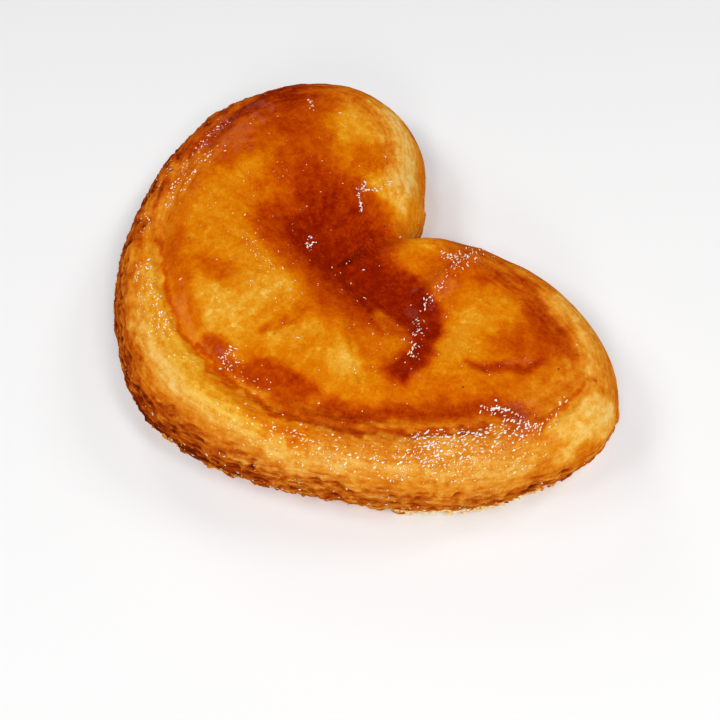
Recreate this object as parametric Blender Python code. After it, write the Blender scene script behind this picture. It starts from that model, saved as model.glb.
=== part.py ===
"""A large palmier: one sheet of puff pastry rolled in from both ends and baked into a blunt heart.

The pastry is one solid. A UV sphere is pulled into shape ring by ring: its lower rings lie flat
under the pastry, the middle ones climb the wall and its rounded shoulder, and the upper ones
spread over the top, where creases and swells give the coils their relief.

Sizes are in millimetres, and the mesh is scaled to metres at the end. +X runs along the pastry
towards the smaller roll, +Y points out of the heart's notch, and +Z is up. The origin is the
centre of the flat underside.
"""

import math
from dataclasses import dataclass

import bmesh
import bpy
import numpy as np
from mathutils import Vector, noise

MM = 0.001
NAME = "palmier"

# The plan, counter-clockwise, seen from above: the pastry's widest edge.
NOTCH = (3.0, 30.5)  # where the two rolls meet
OUTLINE = (
    (87.5, 24.0),  # end of the small roll
    (84.5, 38.0),
    (70.0, 50.5),
    (45.0, 55.0),  # crown of the small roll
    (25.5, 50.0),
    (10.0, 39.5),
    NOTCH,
    (-8.0, 42.0),
    (-26.0, 60.0),
    (-46.5, 65.5),  # crown of the large roll
    (-67.0, 60.0),
    (-84.0, 39.0),
    (-86.0, 7.0),  # side of the large roll
    (-70.0, -25.0),
    (-37.0, -54.5),
    (-2.0, -65.5),  # tip of the heart
    (25.0, -58.0),
    (55.0, -35.5),
    (75.5, -12.5),
    (83.5, 5.0),
)
HUB = (0.0, 2.0)  # every point of the outline is in sight of this one

# The section, from the underside to the top.
CROWN_HEIGHT = 23.5  # top of the pastry before its relief
BELLY_HEIGHT = 7.5  # where the wall stands out furthest
UNDERCUT = 4.0  # how far the underside's edge lies inside the belly
SHOULDER = 15.0  # how far in the rounded shoulder reaches
NOTCH_SHOULDER = 7.0  # the same at the notch, where the rolls press together
NOTCH_REACH = 20.0  # how far round the notch the shoulder is narrowed
UNEVENNESS = 0.5  # gentle waves of the baked top
WAVE_LENGTH = 22.0

# Rings of the mesh, from the middle of the underside to the middle of the top.
RIBS = 120
UNDER_RINGS = 1
WALL_RINGS = 4
SHOULDER_RINGS = 6
TOP_RINGS = 17

CRUST_COLOUR = (0.62, 0.27, 0.05, 1.0)
CRUST_ROUGHNESS = 0.35


@dataclass(frozen=True)
class Swell:
    """A rounded rise of the top, or a hollow where its height is negative."""

    centre: tuple
    reach: tuple  # half its length and half its breadth
    turn: float  # degrees from +X to its length
    height: float


@dataclass(frozen=True)
class Crease:
    """A ridge along a path over the top, or a groove where its height is negative."""

    half_width: float
    height: float
    path: tuple


SWELLS = (
    Swell((-46.0, 24.0), (36.0, 30.0), 70.0, 2.4),  # the large roll's dome
    Swell((46.0, 22.0), (24.0, 18.0), 20.0, 0.8),  # the small roll's dome
    Swell((14.0, 8.0), (26.0, 9.0), 12.0, -4.2),  # the hollow between the rolls
    Swell((-16.0, 6.0), (15.0, 12.0), -20.0, -1.8),  # its shallow end
    Swell((11.0, 26.0), (8.0, 7.0), 0.0, 1.0),  # the tongue beside the notch
    Swell((4.0, -24.0), (28.0, 11.0), 0.0, 1.2),  # the flat pillow above the tip
    Swell((82.0, 22.0), (7.0, 10.0), -15.0, 1.6),  # the bare knob at the end
)

COIL_GROOVE = ((-73, 18), (-69, 2), (-53, -24), (-30, -39), (-4, -44), (20, -40), (45, -24), (73, 13))
OUTER_COIL = ((-78, 12), (-74, -6), (-58, -32), (-34, -47), (-3, -54), (24, -48), (50, -30), (70, -6))
INNER_GROOVE = ((14, -34), (30, -30), (44, -17), (52, -4), (62, 6))
SMALL_COIL = ((21, 50), (24, 34), (26, 20), (33, 8), (42, -3))
SMALL_RIM = ((36, 47), (56, 47), (73, 38), (80, 24))
RIM_FURROW = ((32, 38), (47, 40), (60, 34))
NOTCH_SEAM = ((4, 32), (2, 24), (-5, 16))

CREASES = (
    Crease(4.5, -2.0, COIL_GROOVE),
    Crease(6.5, 1.4, OUTER_COIL),
    Crease(4.0, -1.3, INNER_GROOVE),
    Crease(4.5, 1.5, SMALL_COIL),  # it rises into a point beside the notch
    Crease(5.0, 1.4, SMALL_RIM),
    Crease(5.0, -1.2, RIM_FURROW),
    Crease(6.0, -2.2, NOTCH_SEAM),
)
CREASE_TAPER = 0.08  # the share of its length over which a crease's end keeps its lowest height


def smooth_curve(knots, closed=False, steps=16):
    """Points along a centripetal Catmull-Rom curve through the knots."""
    knots = np.asarray(knots, dtype=float)
    if closed:
        knots = np.vstack([knots[-1], knots, knots[:2]])
    else:
        knots = np.vstack([2 * knots[0] - knots[1], knots, 2 * knots[-1] - knots[-2]])
    points = []
    for p0, p1, p2, p3 in zip(knots, knots[1:], knots[2:], knots[3:]):
        t1 = math.sqrt(np.linalg.norm(p1 - p0))
        t2 = t1 + math.sqrt(np.linalg.norm(p2 - p1))
        t3 = t2 + math.sqrt(np.linalg.norm(p3 - p2))
        t = np.linspace(t1, t2, steps, endpoint=False)[:, None]
        a1 = ((t1 - t) * p0 + t * p1) / t1
        a2 = ((t2 - t) * p1 + (t - t1) * p2) / (t2 - t1)
        a3 = ((t3 - t) * p2 + (t - t2) * p3) / (t3 - t2)
        b1 = ((t2 - t) * a1 + t * a2) / t2
        b2 = ((t3 - t) * a2 + (t - t1) * a3) / (t3 - t1)
        points.append(((t2 - t) * b1 + (t - t1) * b2) / (t2 - t1))
    return np.vstack(points if closed else [*points, knots[-2]])


def heart(bearings):
    """The outline's points at the given bearings from the hub, and its outward directions."""
    curve = smooth_curve(OUTLINE, closed=True) - HUB
    bearing = np.unwrap(np.arctan2(curve[:, 1], curve[:, 0]))
    distance = np.hypot(curve[:, 0], curve[:, 1])
    reach = np.interp(bearings, bearing, distance, period=math.tau)
    points = reach[:, None] * np.column_stack([np.cos(bearings), np.sin(bearings)]) + HUB
    along = np.roll(points, -1, axis=0) - np.roll(points, 1, axis=0)
    along /= np.linalg.norm(along, axis=1)[:, None]
    outward = np.column_stack([along[:, 1], -along[:, 0]])
    return points, outward


def swell_height(swell, x, y):
    """A swell's rise at each place: a bell that falls to a third at its reach."""
    turn = math.radians(swell.turn)
    dx, dy = x - swell.centre[0], y - swell.centre[1]
    lengthwise = (dx * math.cos(turn) + dy * math.sin(turn)) / swell.reach[0]
    across = (dy * math.cos(turn) - dx * math.sin(turn)) / swell.reach[1]
    return swell.height * np.exp(-(lengthwise**2 + across**2))


def crease_height(crease, x, y):
    """A crease's rise at each place: a bell across its path that fades out at both ends."""
    path = smooth_curve(crease.path, steps=6)
    run = np.concatenate([[0.0], np.cumsum(np.linalg.norm(np.diff(path, axis=0), axis=1))])
    nearest = np.full(x.shape, np.inf)
    fraction = np.zeros(x.shape)
    for start, end, begins, ends in zip(path, path[1:], run, run[1:]):
        step = end - start
        t = ((x - start[0]) * step[0] + (y - start[1]) * step[1]) / (step @ step)
        t = np.clip(t, 0.0, 1.0)
        away = np.hypot(x - start[0] - t * step[0], y - start[1] - t * step[1])
        closer = away < nearest
        nearest = np.where(closer, away, nearest)
        fraction = np.where(closer, (begins + t * (ends - begins)) / run[-1], fraction)
    fade = np.sqrt(np.sin(math.pi * np.clip(fraction, CREASE_TAPER, 1.0 - CREASE_TAPER)))
    return crease.height * fade * np.exp(-((nearest / crease.half_width) ** 2))


def crown_height(x, y):
    """The height of the top at each place, with all its relief."""
    height = np.full(x.shape, CROWN_HEIGHT)
    for swell in SWELLS:
        height += swell_height(swell, x, y)
    for crease in CREASES:
        height += crease_height(crease, x, y)
    places = zip(x / WAVE_LENGTH, y / WAVE_LENGTH)
    return height + UNEVENNESS * np.array([noise.noise(Vector((u, v, 0.0))) for u, v in places])


def shoulder_reach(edge):
    """How far in the shoulder reaches at each point of the outline."""
    from_notch = np.hypot(edge[:, 0] - NOTCH[0], edge[:, 1] - NOTCH[1])
    narrowing = np.exp(-((from_notch / NOTCH_REACH) ** 2))
    return SHOULDER - (SHOULDER - NOTCH_SHOULDER) * narrowing


def rings(bearings):
    """Every ring of the skin, from the underside's innermost ring to the top's."""
    edge, outward = heart(bearings)
    base = edge - UNDERCUT * outward
    level = np.zeros(len(edge))
    shoulder = shoulder_reach(edge)[:, None]

    for k in range(1, UNDER_RINGS + 1):
        yield HUB + (base - HUB) * k / (UNDER_RINGS + 1), level
    for k in range(WALL_RINGS):
        lift = 0.5 * math.pi * k / WALL_RINGS
        inset = UNDERCUT * (1.0 - math.sin(lift))
        yield edge - inset * outward, level + BELLY_HEIGHT * (1.0 - math.cos(lift))
    for k in range(SHOULDER_RINGS + 1):
        lift = 0.5 * math.pi * k / SHOULDER_RINGS
        ring = edge - shoulder * (1.0 - math.cos(lift)) * outward
        rise = crown_height(*ring.T) - BELLY_HEIGHT
        yield ring, BELLY_HEIGHT + rise * math.sin(lift)
    crown = edge - shoulder * outward
    for k in range(TOP_RINGS, 0, -1):
        ring = HUB + (crown - HUB) * k / (TOP_RINGS + 1)
        yield ring, crown_height(*ring.T)


def crust_material():
    """Baked, glazed crust in its average colour."""
    material = bpy.data.materials.new("glazed_crust")
    material.use_nodes = True
    shader = material.node_tree.nodes["Principled BSDF"]
    shader.inputs["Base Color"].default_value = CRUST_COLOUR
    shader.inputs["Roughness"].default_value = CRUST_ROUGHNESS
    shader.inputs["Metallic"].default_value = 0.0
    return material


def palmier_mesh():
    """The whole skin, pulled out of a UV sphere with one ring for each ring of the pastry."""
    bearings = np.arange(RIBS) * math.tau / RIBS
    skin = list(rings(bearings))
    bottom = (*HUB, 0.0)
    top = (*HUB, crown_height(*np.array([HUB]).T)[0])
    ball = bmesh.new()
    bmesh.ops.create_uvsphere(ball, u_segments=RIBS, v_segments=len(skin) + 1, radius=1.0)
    for vertex in ball.verts:
        latitude = math.asin(max(-1.0, min(1.0, vertex.co.z))) / math.pi + 0.5
        ring = round(latitude * (len(skin) + 1)) - 1
        rib = round(math.atan2(vertex.co.y, vertex.co.x) * RIBS / math.tau) % RIBS
        if ring < 0:
            place = bottom
        elif ring == len(skin):
            place = top
        else:
            plan, level = skin[ring]
            place = (*plan[rib], level[rib])
        vertex.co = Vector(place) * MM
    bmesh.ops.recalc_face_normals(ball, faces=ball.faces)
    mesh = bpy.data.meshes.new(NAME)
    ball.to_mesh(mesh)
    ball.free()
    mesh.shade_smooth()
    return mesh


def main():
    """Clear the scene and build the palmier in a collection of its own."""
    for old in list(bpy.data.objects):
        bpy.data.objects.remove(old, do_unlink=True)
    collection = bpy.data.collections.new("palmier_pastry")
    bpy.context.scene.collection.children.link(collection)
    palmier = bpy.data.objects.new(NAME, palmier_mesh())
    palmier.data.materials.append(crust_material())
    collection.objects.link(palmier)


main()
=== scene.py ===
"""Looks of a large glazed palmier: the baked skin, its flakes, blisters and crumbs, and the studio.

Sizes inside the classes are in millimetres, in the part's own frame: +X along the pastry towards
its smaller roll, +Y out of the notch, +Z up, with the origin on the underside. They are turned
into metres where a mesh is made.
"""

import itertools
import logging
import math
from dataclasses import dataclass, field
from enum import Enum
from typing import Any, Optional, Sequence, Union

import bpy
import numpy as np
from mathutils import Matrix, Vector


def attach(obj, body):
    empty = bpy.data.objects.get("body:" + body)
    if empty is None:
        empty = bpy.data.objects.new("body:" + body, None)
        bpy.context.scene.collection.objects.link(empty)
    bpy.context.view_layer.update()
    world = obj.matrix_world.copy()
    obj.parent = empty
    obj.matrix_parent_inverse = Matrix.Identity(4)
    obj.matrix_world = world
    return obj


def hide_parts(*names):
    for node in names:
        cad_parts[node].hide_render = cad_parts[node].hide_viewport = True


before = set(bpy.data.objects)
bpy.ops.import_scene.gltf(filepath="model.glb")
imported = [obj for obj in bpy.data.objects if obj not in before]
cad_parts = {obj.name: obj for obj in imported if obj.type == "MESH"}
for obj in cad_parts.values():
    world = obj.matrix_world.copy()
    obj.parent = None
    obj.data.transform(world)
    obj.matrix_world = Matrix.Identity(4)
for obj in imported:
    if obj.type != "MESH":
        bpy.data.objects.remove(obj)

LOG = logging.getLogger("palmier")
MM = 0.001
NODE = "palmier"
BODY = "root"

Array = np.ndarray
Point = tuple[float, float]
Colour = tuple[float, float, float]


# ---------------------------------------------------------------------------------- arithmetic


def smoothstep(low: float, high: float, value: Array) -> Array:
    """Eases from 0 at low to 1 at high: 3t squared less 2t cubed.

    Args:
        low: where the ease starts; it may lie above high.
        high: where it ends.
        value: the places at which it is read.

    Returns:
        The eased share at each place.
    """
    t = np.clip((value - low) / (high - low), 0.0, 1.0)
    return t * t * (3.0 - 2.0 * t)


def bell(value: Array) -> Array:
    """A bell of height 1 at 0, which falls to a third at 1: e to the minus square."""
    return np.exp(-np.square(value))


def smooth_curve(knots: Sequence[Point], closed: bool = False, steps: int = 12) -> Array:
    """Points along a centripetal Catmull-Rom curve.

    The curve between two knots is blended from the straight lines through them and their
    neighbours, with each knot's time set by the square root of the distance to the last.

    Args:
        knots: the points that the curve goes through.
        closed: whether the curve returns to its first knot.
        steps: points for each span.

    Returns:
        The points, as an array of two columns.
    """
    ends = np.asarray(knots, dtype=float)
    if closed:
        ends = np.vstack([ends[-1], ends, ends[:2]])
    else:
        ends = np.vstack([2 * ends[0] - ends[1], ends, 2 * ends[-1] - ends[-2]])
    spans = []
    for p0, p1, p2, p3 in zip(ends, ends[1:], ends[2:], ends[3:]):
        t1 = math.sqrt(np.linalg.norm(p1 - p0))
        t2 = t1 + math.sqrt(np.linalg.norm(p2 - p1))
        t3 = t2 + math.sqrt(np.linalg.norm(p3 - p2))
        t = np.linspace(t1, t2, steps, endpoint=False)[:, None]
        a1 = ((t1 - t) * p0 + t * p1) / t1
        a2 = ((t2 - t) * p1 + (t - t1) * p2) / (t2 - t1)
        a3 = ((t3 - t) * p2 + (t - t2) * p3) / (t3 - t2)
        b1 = ((t2 - t) * a1 + t * a2) / t2
        b2 = ((t3 - t) * a2 + (t - t1) * a3) / (t3 - t1)
        spans.append(((t2 - t) * b1 + (t - t1) * b2) / (t2 - t1))
    return np.vstack(spans if closed else [*spans, ends[-2]])


class Grain:
    """Seeded gradient noise, read at whole arrays of places.

    A number added to the places shifts the noise, so that one kind of mark doesn't follow another.
    """

    def __init__(self, seed: int) -> None:
        """Draws the lattice's order and directions.

        Args:
            seed: the same seed gives the same noise.
        """
        rng = np.random.default_rng(seed)
        self.order = rng.permutation(256)
        directions = rng.normal(size=(256, 3))
        self.directions = directions / np.linalg.norm(directions, axis=1)[:, None]

    def read(self, places: Array, size: Union[float, Sequence[float]]) -> Array:
        """Gradient noise of one grain size, about -1 to 1.

        Each corner of the cell round a place offers the product of its own direction and the
        way from it to the place, and the eight are blended by the quintic ease.

        Args:
            places: an array whose last axis is x, y and z.
            size: the grain's size along the axes.

        Returns:
            One value for each place.
        """
        scaled = places / np.asarray(size, dtype=float)
        cell = np.floor(scaled).astype(int)
        inside = scaled - cell
        ease = inside**3 * (inside * (inside * 6.0 - 15.0) + 10.0)
        total = np.zeros(scaled.shape[:-1])
        for corner in itertools.product((0, 1), repeat=3):
            at = cell + corner
            key = self.order[at[..., 0] & 255]
            key = self.order[(key + at[..., 1]) & 255]
            key = self.order[(key + at[..., 2]) & 255]
            share = np.prod(np.where(corner, ease, 1.0 - ease), axis=-1)
            total += share * np.sum(self.directions[key] * (inside - corner), axis=-1)
        return 1.6 * total

    def cloud(self, places: Array, size: float, octaves: int = 3) -> Array:
        """Noise of several sizes: each octave is half as large and a little over half as strong.

        Args:
            places: an array whose last axis is x, y and z.
            size: the largest grain's size.
            octaves: how many sizes are summed.

        Returns:
            One value for each place.
        """
        total = np.zeros(places.shape[:-1])
        for octave in range(octaves):
            finer = 0.5**octave
            total += 0.55**octave * self.read(places + 17.3 * octave, size * finer)
        return total


def flat_places(x: Array, y: Array, level: float = 0.0) -> Array:
    """Places in one horizontal plane, stacked for the noise."""
    return np.stack([x, y, np.full(np.shape(x), level)], axis=-1)


@dataclass(frozen=True)
class Trail:
    """A path over the top: one point, or a smooth curve through several."""

    knots: tuple[Point, ...]

    def measure(self, x: Array, y: Array) -> tuple[Array, Array]:
        """How far each place lies from the trail, and how far along it.

        Args:
            x: the places' first coordinate.
            y: the places' second coordinate.

        Returns:
            The distance to the nearest point, and that point's share of the trail's length.
        """
        if len(self.knots) == 1:
            return np.hypot(x - self.knots[0][0], y - self.knots[0][1]), np.full(x.shape, 0.5)
        path = smooth_curve(self.knots, steps=5)
        run = np.concatenate([[0.0], np.cumsum(np.linalg.norm(np.diff(path, axis=0), axis=1))])
        nearest = np.full(x.shape, np.inf)
        share = np.zeros(x.shape)
        for start, end, begins, ends in zip(path, path[1:], run, run[1:]):
            step = end - start
            t = np.clip(((x - start[0]) * step[0] + (y - start[1]) * step[1]) / (step @ step), 0.0, 1.0)
            away = np.hypot(x - start[0] - t * step[0], y - start[1] - t * step[1])
            closer = away < nearest
            nearest = np.where(closer, away, nearest)
            share = np.where(closer, (begins + t * (ends - begins)) / run[-1], share)
        return nearest, share

    def spread(self, rng: np.random.Generator, count: int, stray: float) -> Array:
        """Random places that lie near the trail.

        Args:
            rng: the source of chance.
            count: how many places.
            stray: how far they stray from the trail, as a standard deviation.

        Returns:
            The places, as an array of two columns.
        """
        path = np.asarray(self.knots, dtype=float)
        if len(path) > 1:
            path = smooth_curve(self.knots, steps=8)
        at = rng.uniform(0.0, len(path) - 1.0, count)
        on = np.column_stack([np.interp(at, np.arange(len(path)), path[:, k]) for k in (0, 1)])
        return on + rng.normal(0.0, stray, (count, 2))


# -------------------------------------------------------------------------------------- shape


@dataclass(frozen=True)
class Swell:
    """A rounded rise of the top, or a hollow where its height is negative."""

    centre: Point
    reach: Point
    turn: float
    height: float

    def rise(self, x: Array, y: Array) -> Array:
        """A bell over an ellipse that is turned by the given degrees.

        Args:
            x: the places' first coordinate.
            y: the places' second coordinate.

        Returns:
            How much the top rises at each place.
        """
        turn = math.radians(self.turn)
        dx, dy = x - self.centre[0], y - self.centre[1]
        lengthwise = (dx * math.cos(turn) + dy * math.sin(turn)) / self.reach[0]
        across = (dy * math.cos(turn) - dx * math.sin(turn)) / self.reach[1]
        return self.height * bell(np.hypot(lengthwise, across))


@dataclass(frozen=True)
class Crease:
    """A ridge along a trail, or a groove where its height is negative."""

    half_width: float
    height: float
    trail: Trail
    taper: float = 0.08

    def rise(self, x: Array, y: Array) -> Array:
        """A bell across the trail, which fades towards both ends as the root of a sine.

        Args:
            x: the places' first coordinate.
            y: the places' second coordinate.

        Returns:
            How much the top rises at each place.
        """
        away, share = self.trail.measure(x, y)
        fade = np.sqrt(np.sin(math.pi * np.clip(share, self.taper, 1.0 - self.taper)))
        return self.height * fade * bell(away / self.half_width)


def crease(half_width: float, height: float, *knots: Point) -> Crease:
    """A crease along the trail through the given knots."""
    return Crease(half_width, height, Trail(knots))


COIL_GROOVE = Trail(
    ((-73, 18), (-69, 2), (-53, -24), (-30, -39), (-4, -44), (20, -40), (45, -24), (73, 13))
)
OUTER_COIL = Trail(
    ((-78, 12), (-74, -6), (-58, -32), (-34, -47), (-3, -54), (24, -48), (50, -30), (70, -6))
)
INNER_GROOVE = Trail(((14, -34), (30, -30), (44, -17), (52, -4), (62, 6)))
SMALL_COIL = Trail(((21, 50), (24, 34), (26, 20), (33, 8), (42, -3)))
SMALL_RIM = Trail(((36, 47), (56, 47), (73, 38), (80, 24)))
RIM_FURROW = Trail(((32, 38), (47, 40), (60, 34)))
NOTCH_SEAM = Trail(((4, 32), (2, 24), (-5, 16)))


@dataclass(frozen=True)
class HeartPlan:
    """The pastry's outline seen from above, and the places laid out inside it."""

    notch: Point = (3.0, 30.5)
    hub: Point = (0.0, 2.0)
    knob: Point = (82.0, 22.0)
    outline: tuple[Point, ...] = (
        (87.5, 24.0),
        (84.5, 38.0),
        (70.0, 50.5),
        (45.0, 55.0),
        (25.5, 50.0),
        (10.0, 39.5),
        (3.0, 30.5),
        (-2.4, 40.8),
        (-11.4, 49.0),
        (-26.0, 60.5),
        (-46.5, 65.5),
        (-67.0, 60.0),
        (-84.0, 39.0),
        (-86.0, 7.0),
        (-70.0, -25.0),
        (-37.0, -54.5),
        (-2.0, -65.5),
        (25.0, -58.0),
        (55.0, -35.5),
        (75.5, -12.5),
        (83.5, 5.0),
    )

    def stations(self, count: int) -> tuple[Array, Array]:
        """Points at equal steps along the outline.

        Args:
            count: how many points.

        Returns:
            The points, and the outward direction at each, both as arrays of two columns.
        """
        curve = smooth_curve(self.outline, closed=True, steps=60)
        loop = np.vstack([curve, curve[:1]])
        run = np.concatenate([[0.0], np.cumsum(np.linalg.norm(np.diff(loop, axis=0), axis=1))])
        at = np.arange(count) * run[-1] / count
        points = np.column_stack([np.interp(at, run, loop[:, k]) for k in (0, 1)])
        along = np.roll(points, -3, axis=0) - np.roll(points, 3, axis=0)
        along /= np.linalg.norm(along, axis=1)[:, None]
        return points, np.column_stack([along[:, 1], -along[:, 0]])

    def bearing(self, x: Array, y: Array) -> Array:
        """The direction of each place from the hub, in degrees from +X."""
        return np.degrees(np.arctan2(y - self.hub[1], x - self.hub[0]))


@dataclass(frozen=True)
class TopRelief:
    """The height of the pastry's top: the crown, its coils and hollows, and the baked surface."""

    blistering: "Blistering"
    crown: float = 23.5
    pebbles: float = 0.02
    boil: float = 0.07
    unevenness: float = 0.5
    wave: float = 22.0
    roll: float = 0.20
    roll_size: float = 7.0
    pebble_size: float = 1.9
    swells: tuple[Swell, ...] = (
        Swell((-46.0, 24.0), (36.0, 30.0), 70.0, 2.4),
        Swell((46.0, 22.0), (24.0, 18.0), 20.0, 0.8),
        Swell((14.0, 8.0), (26.0, 9.0), 12.0, -4.2),
        Swell((-16.0, 6.0), (15.0, 12.0), -20.0, -1.8),
        Swell((11.0, 26.0), (8.0, 7.0), 0.0, 1.0),
        Swell((4.0, -24.0), (28.0, 11.0), 0.0, 1.2),
        Swell((82.0, 22.0), (6.0, 9.5), -15.0, 2.4),
    )
    coils: tuple[Crease, ...] = (
        Crease(4.5, -1.7, COIL_GROOVE),
        Crease(6.5, 1.1, OUTER_COIL),
        Crease(4.0, -1.3, INNER_GROOVE),
        Crease(4.5, 1.5, SMALL_COIL),
        Crease(5.0, 1.4, SMALL_RIM),
        Crease(5.0, -1.2, RIM_FURROW),
        Crease(6.0, -2.2, NOTCH_SEAM),
    )
    # leaves of the sheet that show as fine lines, too fine for the solid
    leaves: tuple[Crease, ...] = (
        crease(1.1, -0.55, (-66, 2), (-58, -14), (-50, -25), (-36, -36), (-20, -42), (0, -45)),
        crease(0.9, -0.5, (-61, -2), (-54, -15), (-46, -24)),
        crease(0.9, 0.45, (-57, -22), (-42, -36), (-22, -44), (0, -47), (20, -45)),
        crease(0.8, -0.5, (8, -43), (28, -38), (46, -25), (58, -12), (66, 2)),
        crease(0.8, 0.5, (30, -34), (45, -24), (54, -13), (62, -2)),
        crease(1.2, -0.25, (52, 11), (57, 18), (64, 30)),
        crease(1.0, 0.7, (21, 47), (24, 34), (25, 22), (30, 13), (38, 3)),
        crease(0.8, 0.5, (-19, 28), (-15, 24), (-10, 21)),
        crease(0.7, 0.45, (-14, 36), (-14, 30), (-17, 25)),
        crease(0.8, -0.4, (-45, 52), (-30, 47), (-20, 38), (-8, 28)),
        crease(0.9, -0.45, (38, 49), (56, 48), (70, 41), (78, 30)),
        crease(0.9, -0.5, (73, 34), (76, 24), (75, 12)),
        crease(0.8, 0.35, (-12, -38), (-2, -40), (8, -38)),
        crease(0.7, -0.3, (9, -12), (11, -20), (8, -30)),
    )

    def height(self, x: Array, y: Array, grain: Grain) -> Array:
        """The top's height with all its relief.

        The crown's height, plus every swell, coil and leaf, plus slow waves, a shorter roll and a
        fine pebbling, which is deeper where the glaze has boiled.

        Args:
            x: the places' first coordinate.
            y: the places' second coordinate.
            grain: the noise.

        Returns:
            One height for each place.
        """
        total = np.full(np.shape(x), self.crown)
        for feature in (*self.swells, *self.coils, *self.leaves):
            total = total + feature.rise(x, y)
        places = flat_places(x, y)
        total += self.unevenness * grain.read(places, self.wave)
        total += self.roll * grain.cloud(places, self.roll_size, 2)
        pebbles = self.pebbles + self.boil * self.blistering.spread(x, y, grain)
        return total + pebbles * grain.cloud(places + 40.0, self.pebble_size, 2)


@dataclass(frozen=True)
class Section:
    """The pastry's section from foot to crown, at any station of the outline."""

    belly: float = 7.5
    undercut: float = 4.0
    shoulder: float = 15.0
    notch_shoulder: float = 7.0
    notch_reach: float = 20.0
    # how far the foot's thin lip reaches out, at bearings from the hub
    flares: tuple[Point, ...] = (
        (-180, 1.2),
        (-140, 2.2),
        (-112, 3.2),
        (-98, 3.6),
        (-70, 2.8),
        (-40, 1.6),
        (-20, 2.6),
        (5, 2.2),
        (40, 1.0),
        (120, 0.8),
        (179, 1.2),
    )

    def flare(self, bearing: Array) -> Array:
        """How far the foot's lip reaches out at each bearing."""
        return np.interp(bearing, *np.transpose(self.flares), period=360.0)

    def shoulder_reach(self, edge: Array, notch: Point) -> Array:
        """How far in the shoulder reaches at each point of the outline, less near the notch.

        Args:
            edge: the outline's points.
            notch: the notch's bottom.

        Returns:
            The reach at each point.
        """
        from_notch = np.hypot(edge[:, 0] - notch[0], edge[:, 1] - notch[1])
        return self.shoulder - (self.shoulder - self.notch_shoulder) * bell(from_notch / self.notch_reach)


# ------------------------------------------------------------------------------------- baking


@dataclass(frozen=True)
class Wash:
    """One wash of caramel, or of bare pale crust, laid over what is already there.

    Its level runs from 0, cream, to 1, mahogany.
    """

    level: float
    half_width: float
    soften: float
    trail: Trail
    strength: float = 1.0
    ragged: float = 1.0

    def lay(self, under: Array, x: Array, y: Array, wobble: Array) -> Array:
        """Moves the level under the wash towards the wash's own.

        Args:
            under: the level so far.
            x: the places' first coordinate.
            y: the places' second coordinate.
            wobble: how far the wash's edge strays at each place, in millimetres.

        Returns:
            The level with the wash on it.
        """
        away, _ = self.trail.measure(x, y)
        away = away + self.ragged * wobble
        share = self.strength * smoothstep(self.half_width + self.soften, self.half_width - self.soften, away)
        return under + share * (self.level - under)


def wash(level: float, half_width: float, soften: float, *knots: Point, **more: float) -> Wash:
    """A wash along the trail through the given knots."""
    return Wash(level, half_width, soften, Trail(knots), **more)


LARGE_ROLL_WASHES = (
    wash(0.62, 15, 8, (-66, 20), (-56, 30), (-48, 20)),
    wash(0.70, 9, 5, (-78, 20), (-76, 6), (-70, -8), (-62, -18)),
    wash(0.60, 7, 6, (-66, 52), (-50, 54), (-38, 50)),
    wash(0.66, 9, 5, (-58, 6), (-51, 3), (-44, 24)),
    wash(0.92, 11, 5, (-82, 44), (-78, 38), (-68, 34)),
    wash(0.70, 7, 5, (-66, 46), (-56, 46), (-54, 30)),
    wash(0.48, 4, 3, (-68, 56), (-56, 62), (-42, 62), (-34, 61)),
    wash(0.88, 2.5, 2, (-46, 63), (-34, 62)),
    wash(0.80, 5, 4, (-75, 25), (-64, 22), (-54, 24)),
    wash(0.42, 4, 4, (-47, 16), (-46, 5), (-45, -6)),
    wash(0.34, 6, 5, (-45, -10), (-42, -22)),
    wash(0.26, 4, 4, (-44, -12), (-41, -20)),
    wash(0.50, 9, 5, (-54, 53), (-42, 52), (-32, 46)),
    wash(0.18, 6.5, 5, (-44, 43), (-35, 41)),
    wash(0.22, 4.5, 4, (-37, 36), (-32, 33)),
    wash(0.55, 6, 5, (-28, 34), (-22, 33)),
    wash(0.95, 2.6, 2.2, (-75, 29), (-72, 15), (-68, 5), (-62, -4), (-58, -13)),
    wash(0.80, 3, 2, (-68, 2), (-64, -10)),
    wash(0.34, 2.6, 2, (-47, 18), (-46, 6), (-45, -8), (-46, -20)),
    wash(0.50, 4, 3, (-83, 26), (-81, 14)),
    wash(0.30, 2, 2, (-83, 27), (-80, 20)),
    wash(0.90, 5, 3, (-80, 8), (-78, -6)),
)
NOTCH_WASHES = (
    wash(0.26, 5, 3, (-44, 57), (-33, 54), (-22, 48), (-12, 38), (-4, 31)),
    wash(0.04, 3.6, 2.6, (-40, 57), (-30, 53), (-19, 47), (-10, 37), (-3, 31), (2, 27.5)),
    wash(0.14, 4, 3, (-16, 34), (-12, 33)),
    wash(0.62, 7, 5, (14, 40), (22, 42), (26, 44)),
    wash(0.64, 5, 4, (24, 34), (25, 24)),
    wash(0.66, 2, 2, (5, 30), (10, 34), (16, 40)),
    # paler in the notch: partly painted light against the notch's own shade
    wash(0.30, 2.6, 1.5, (2, 29), (-3, 36), (-8, 42)),
    wash(0.86, 3.0, 1.5, (-48, 65), (-38, 64), (-30, 61)),
    wash(0.42, 6, 3, (11, 27), (9, 22)),
    wash(0.27, 3.4, 3, (11, 27), (9, 23)),
)
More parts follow.
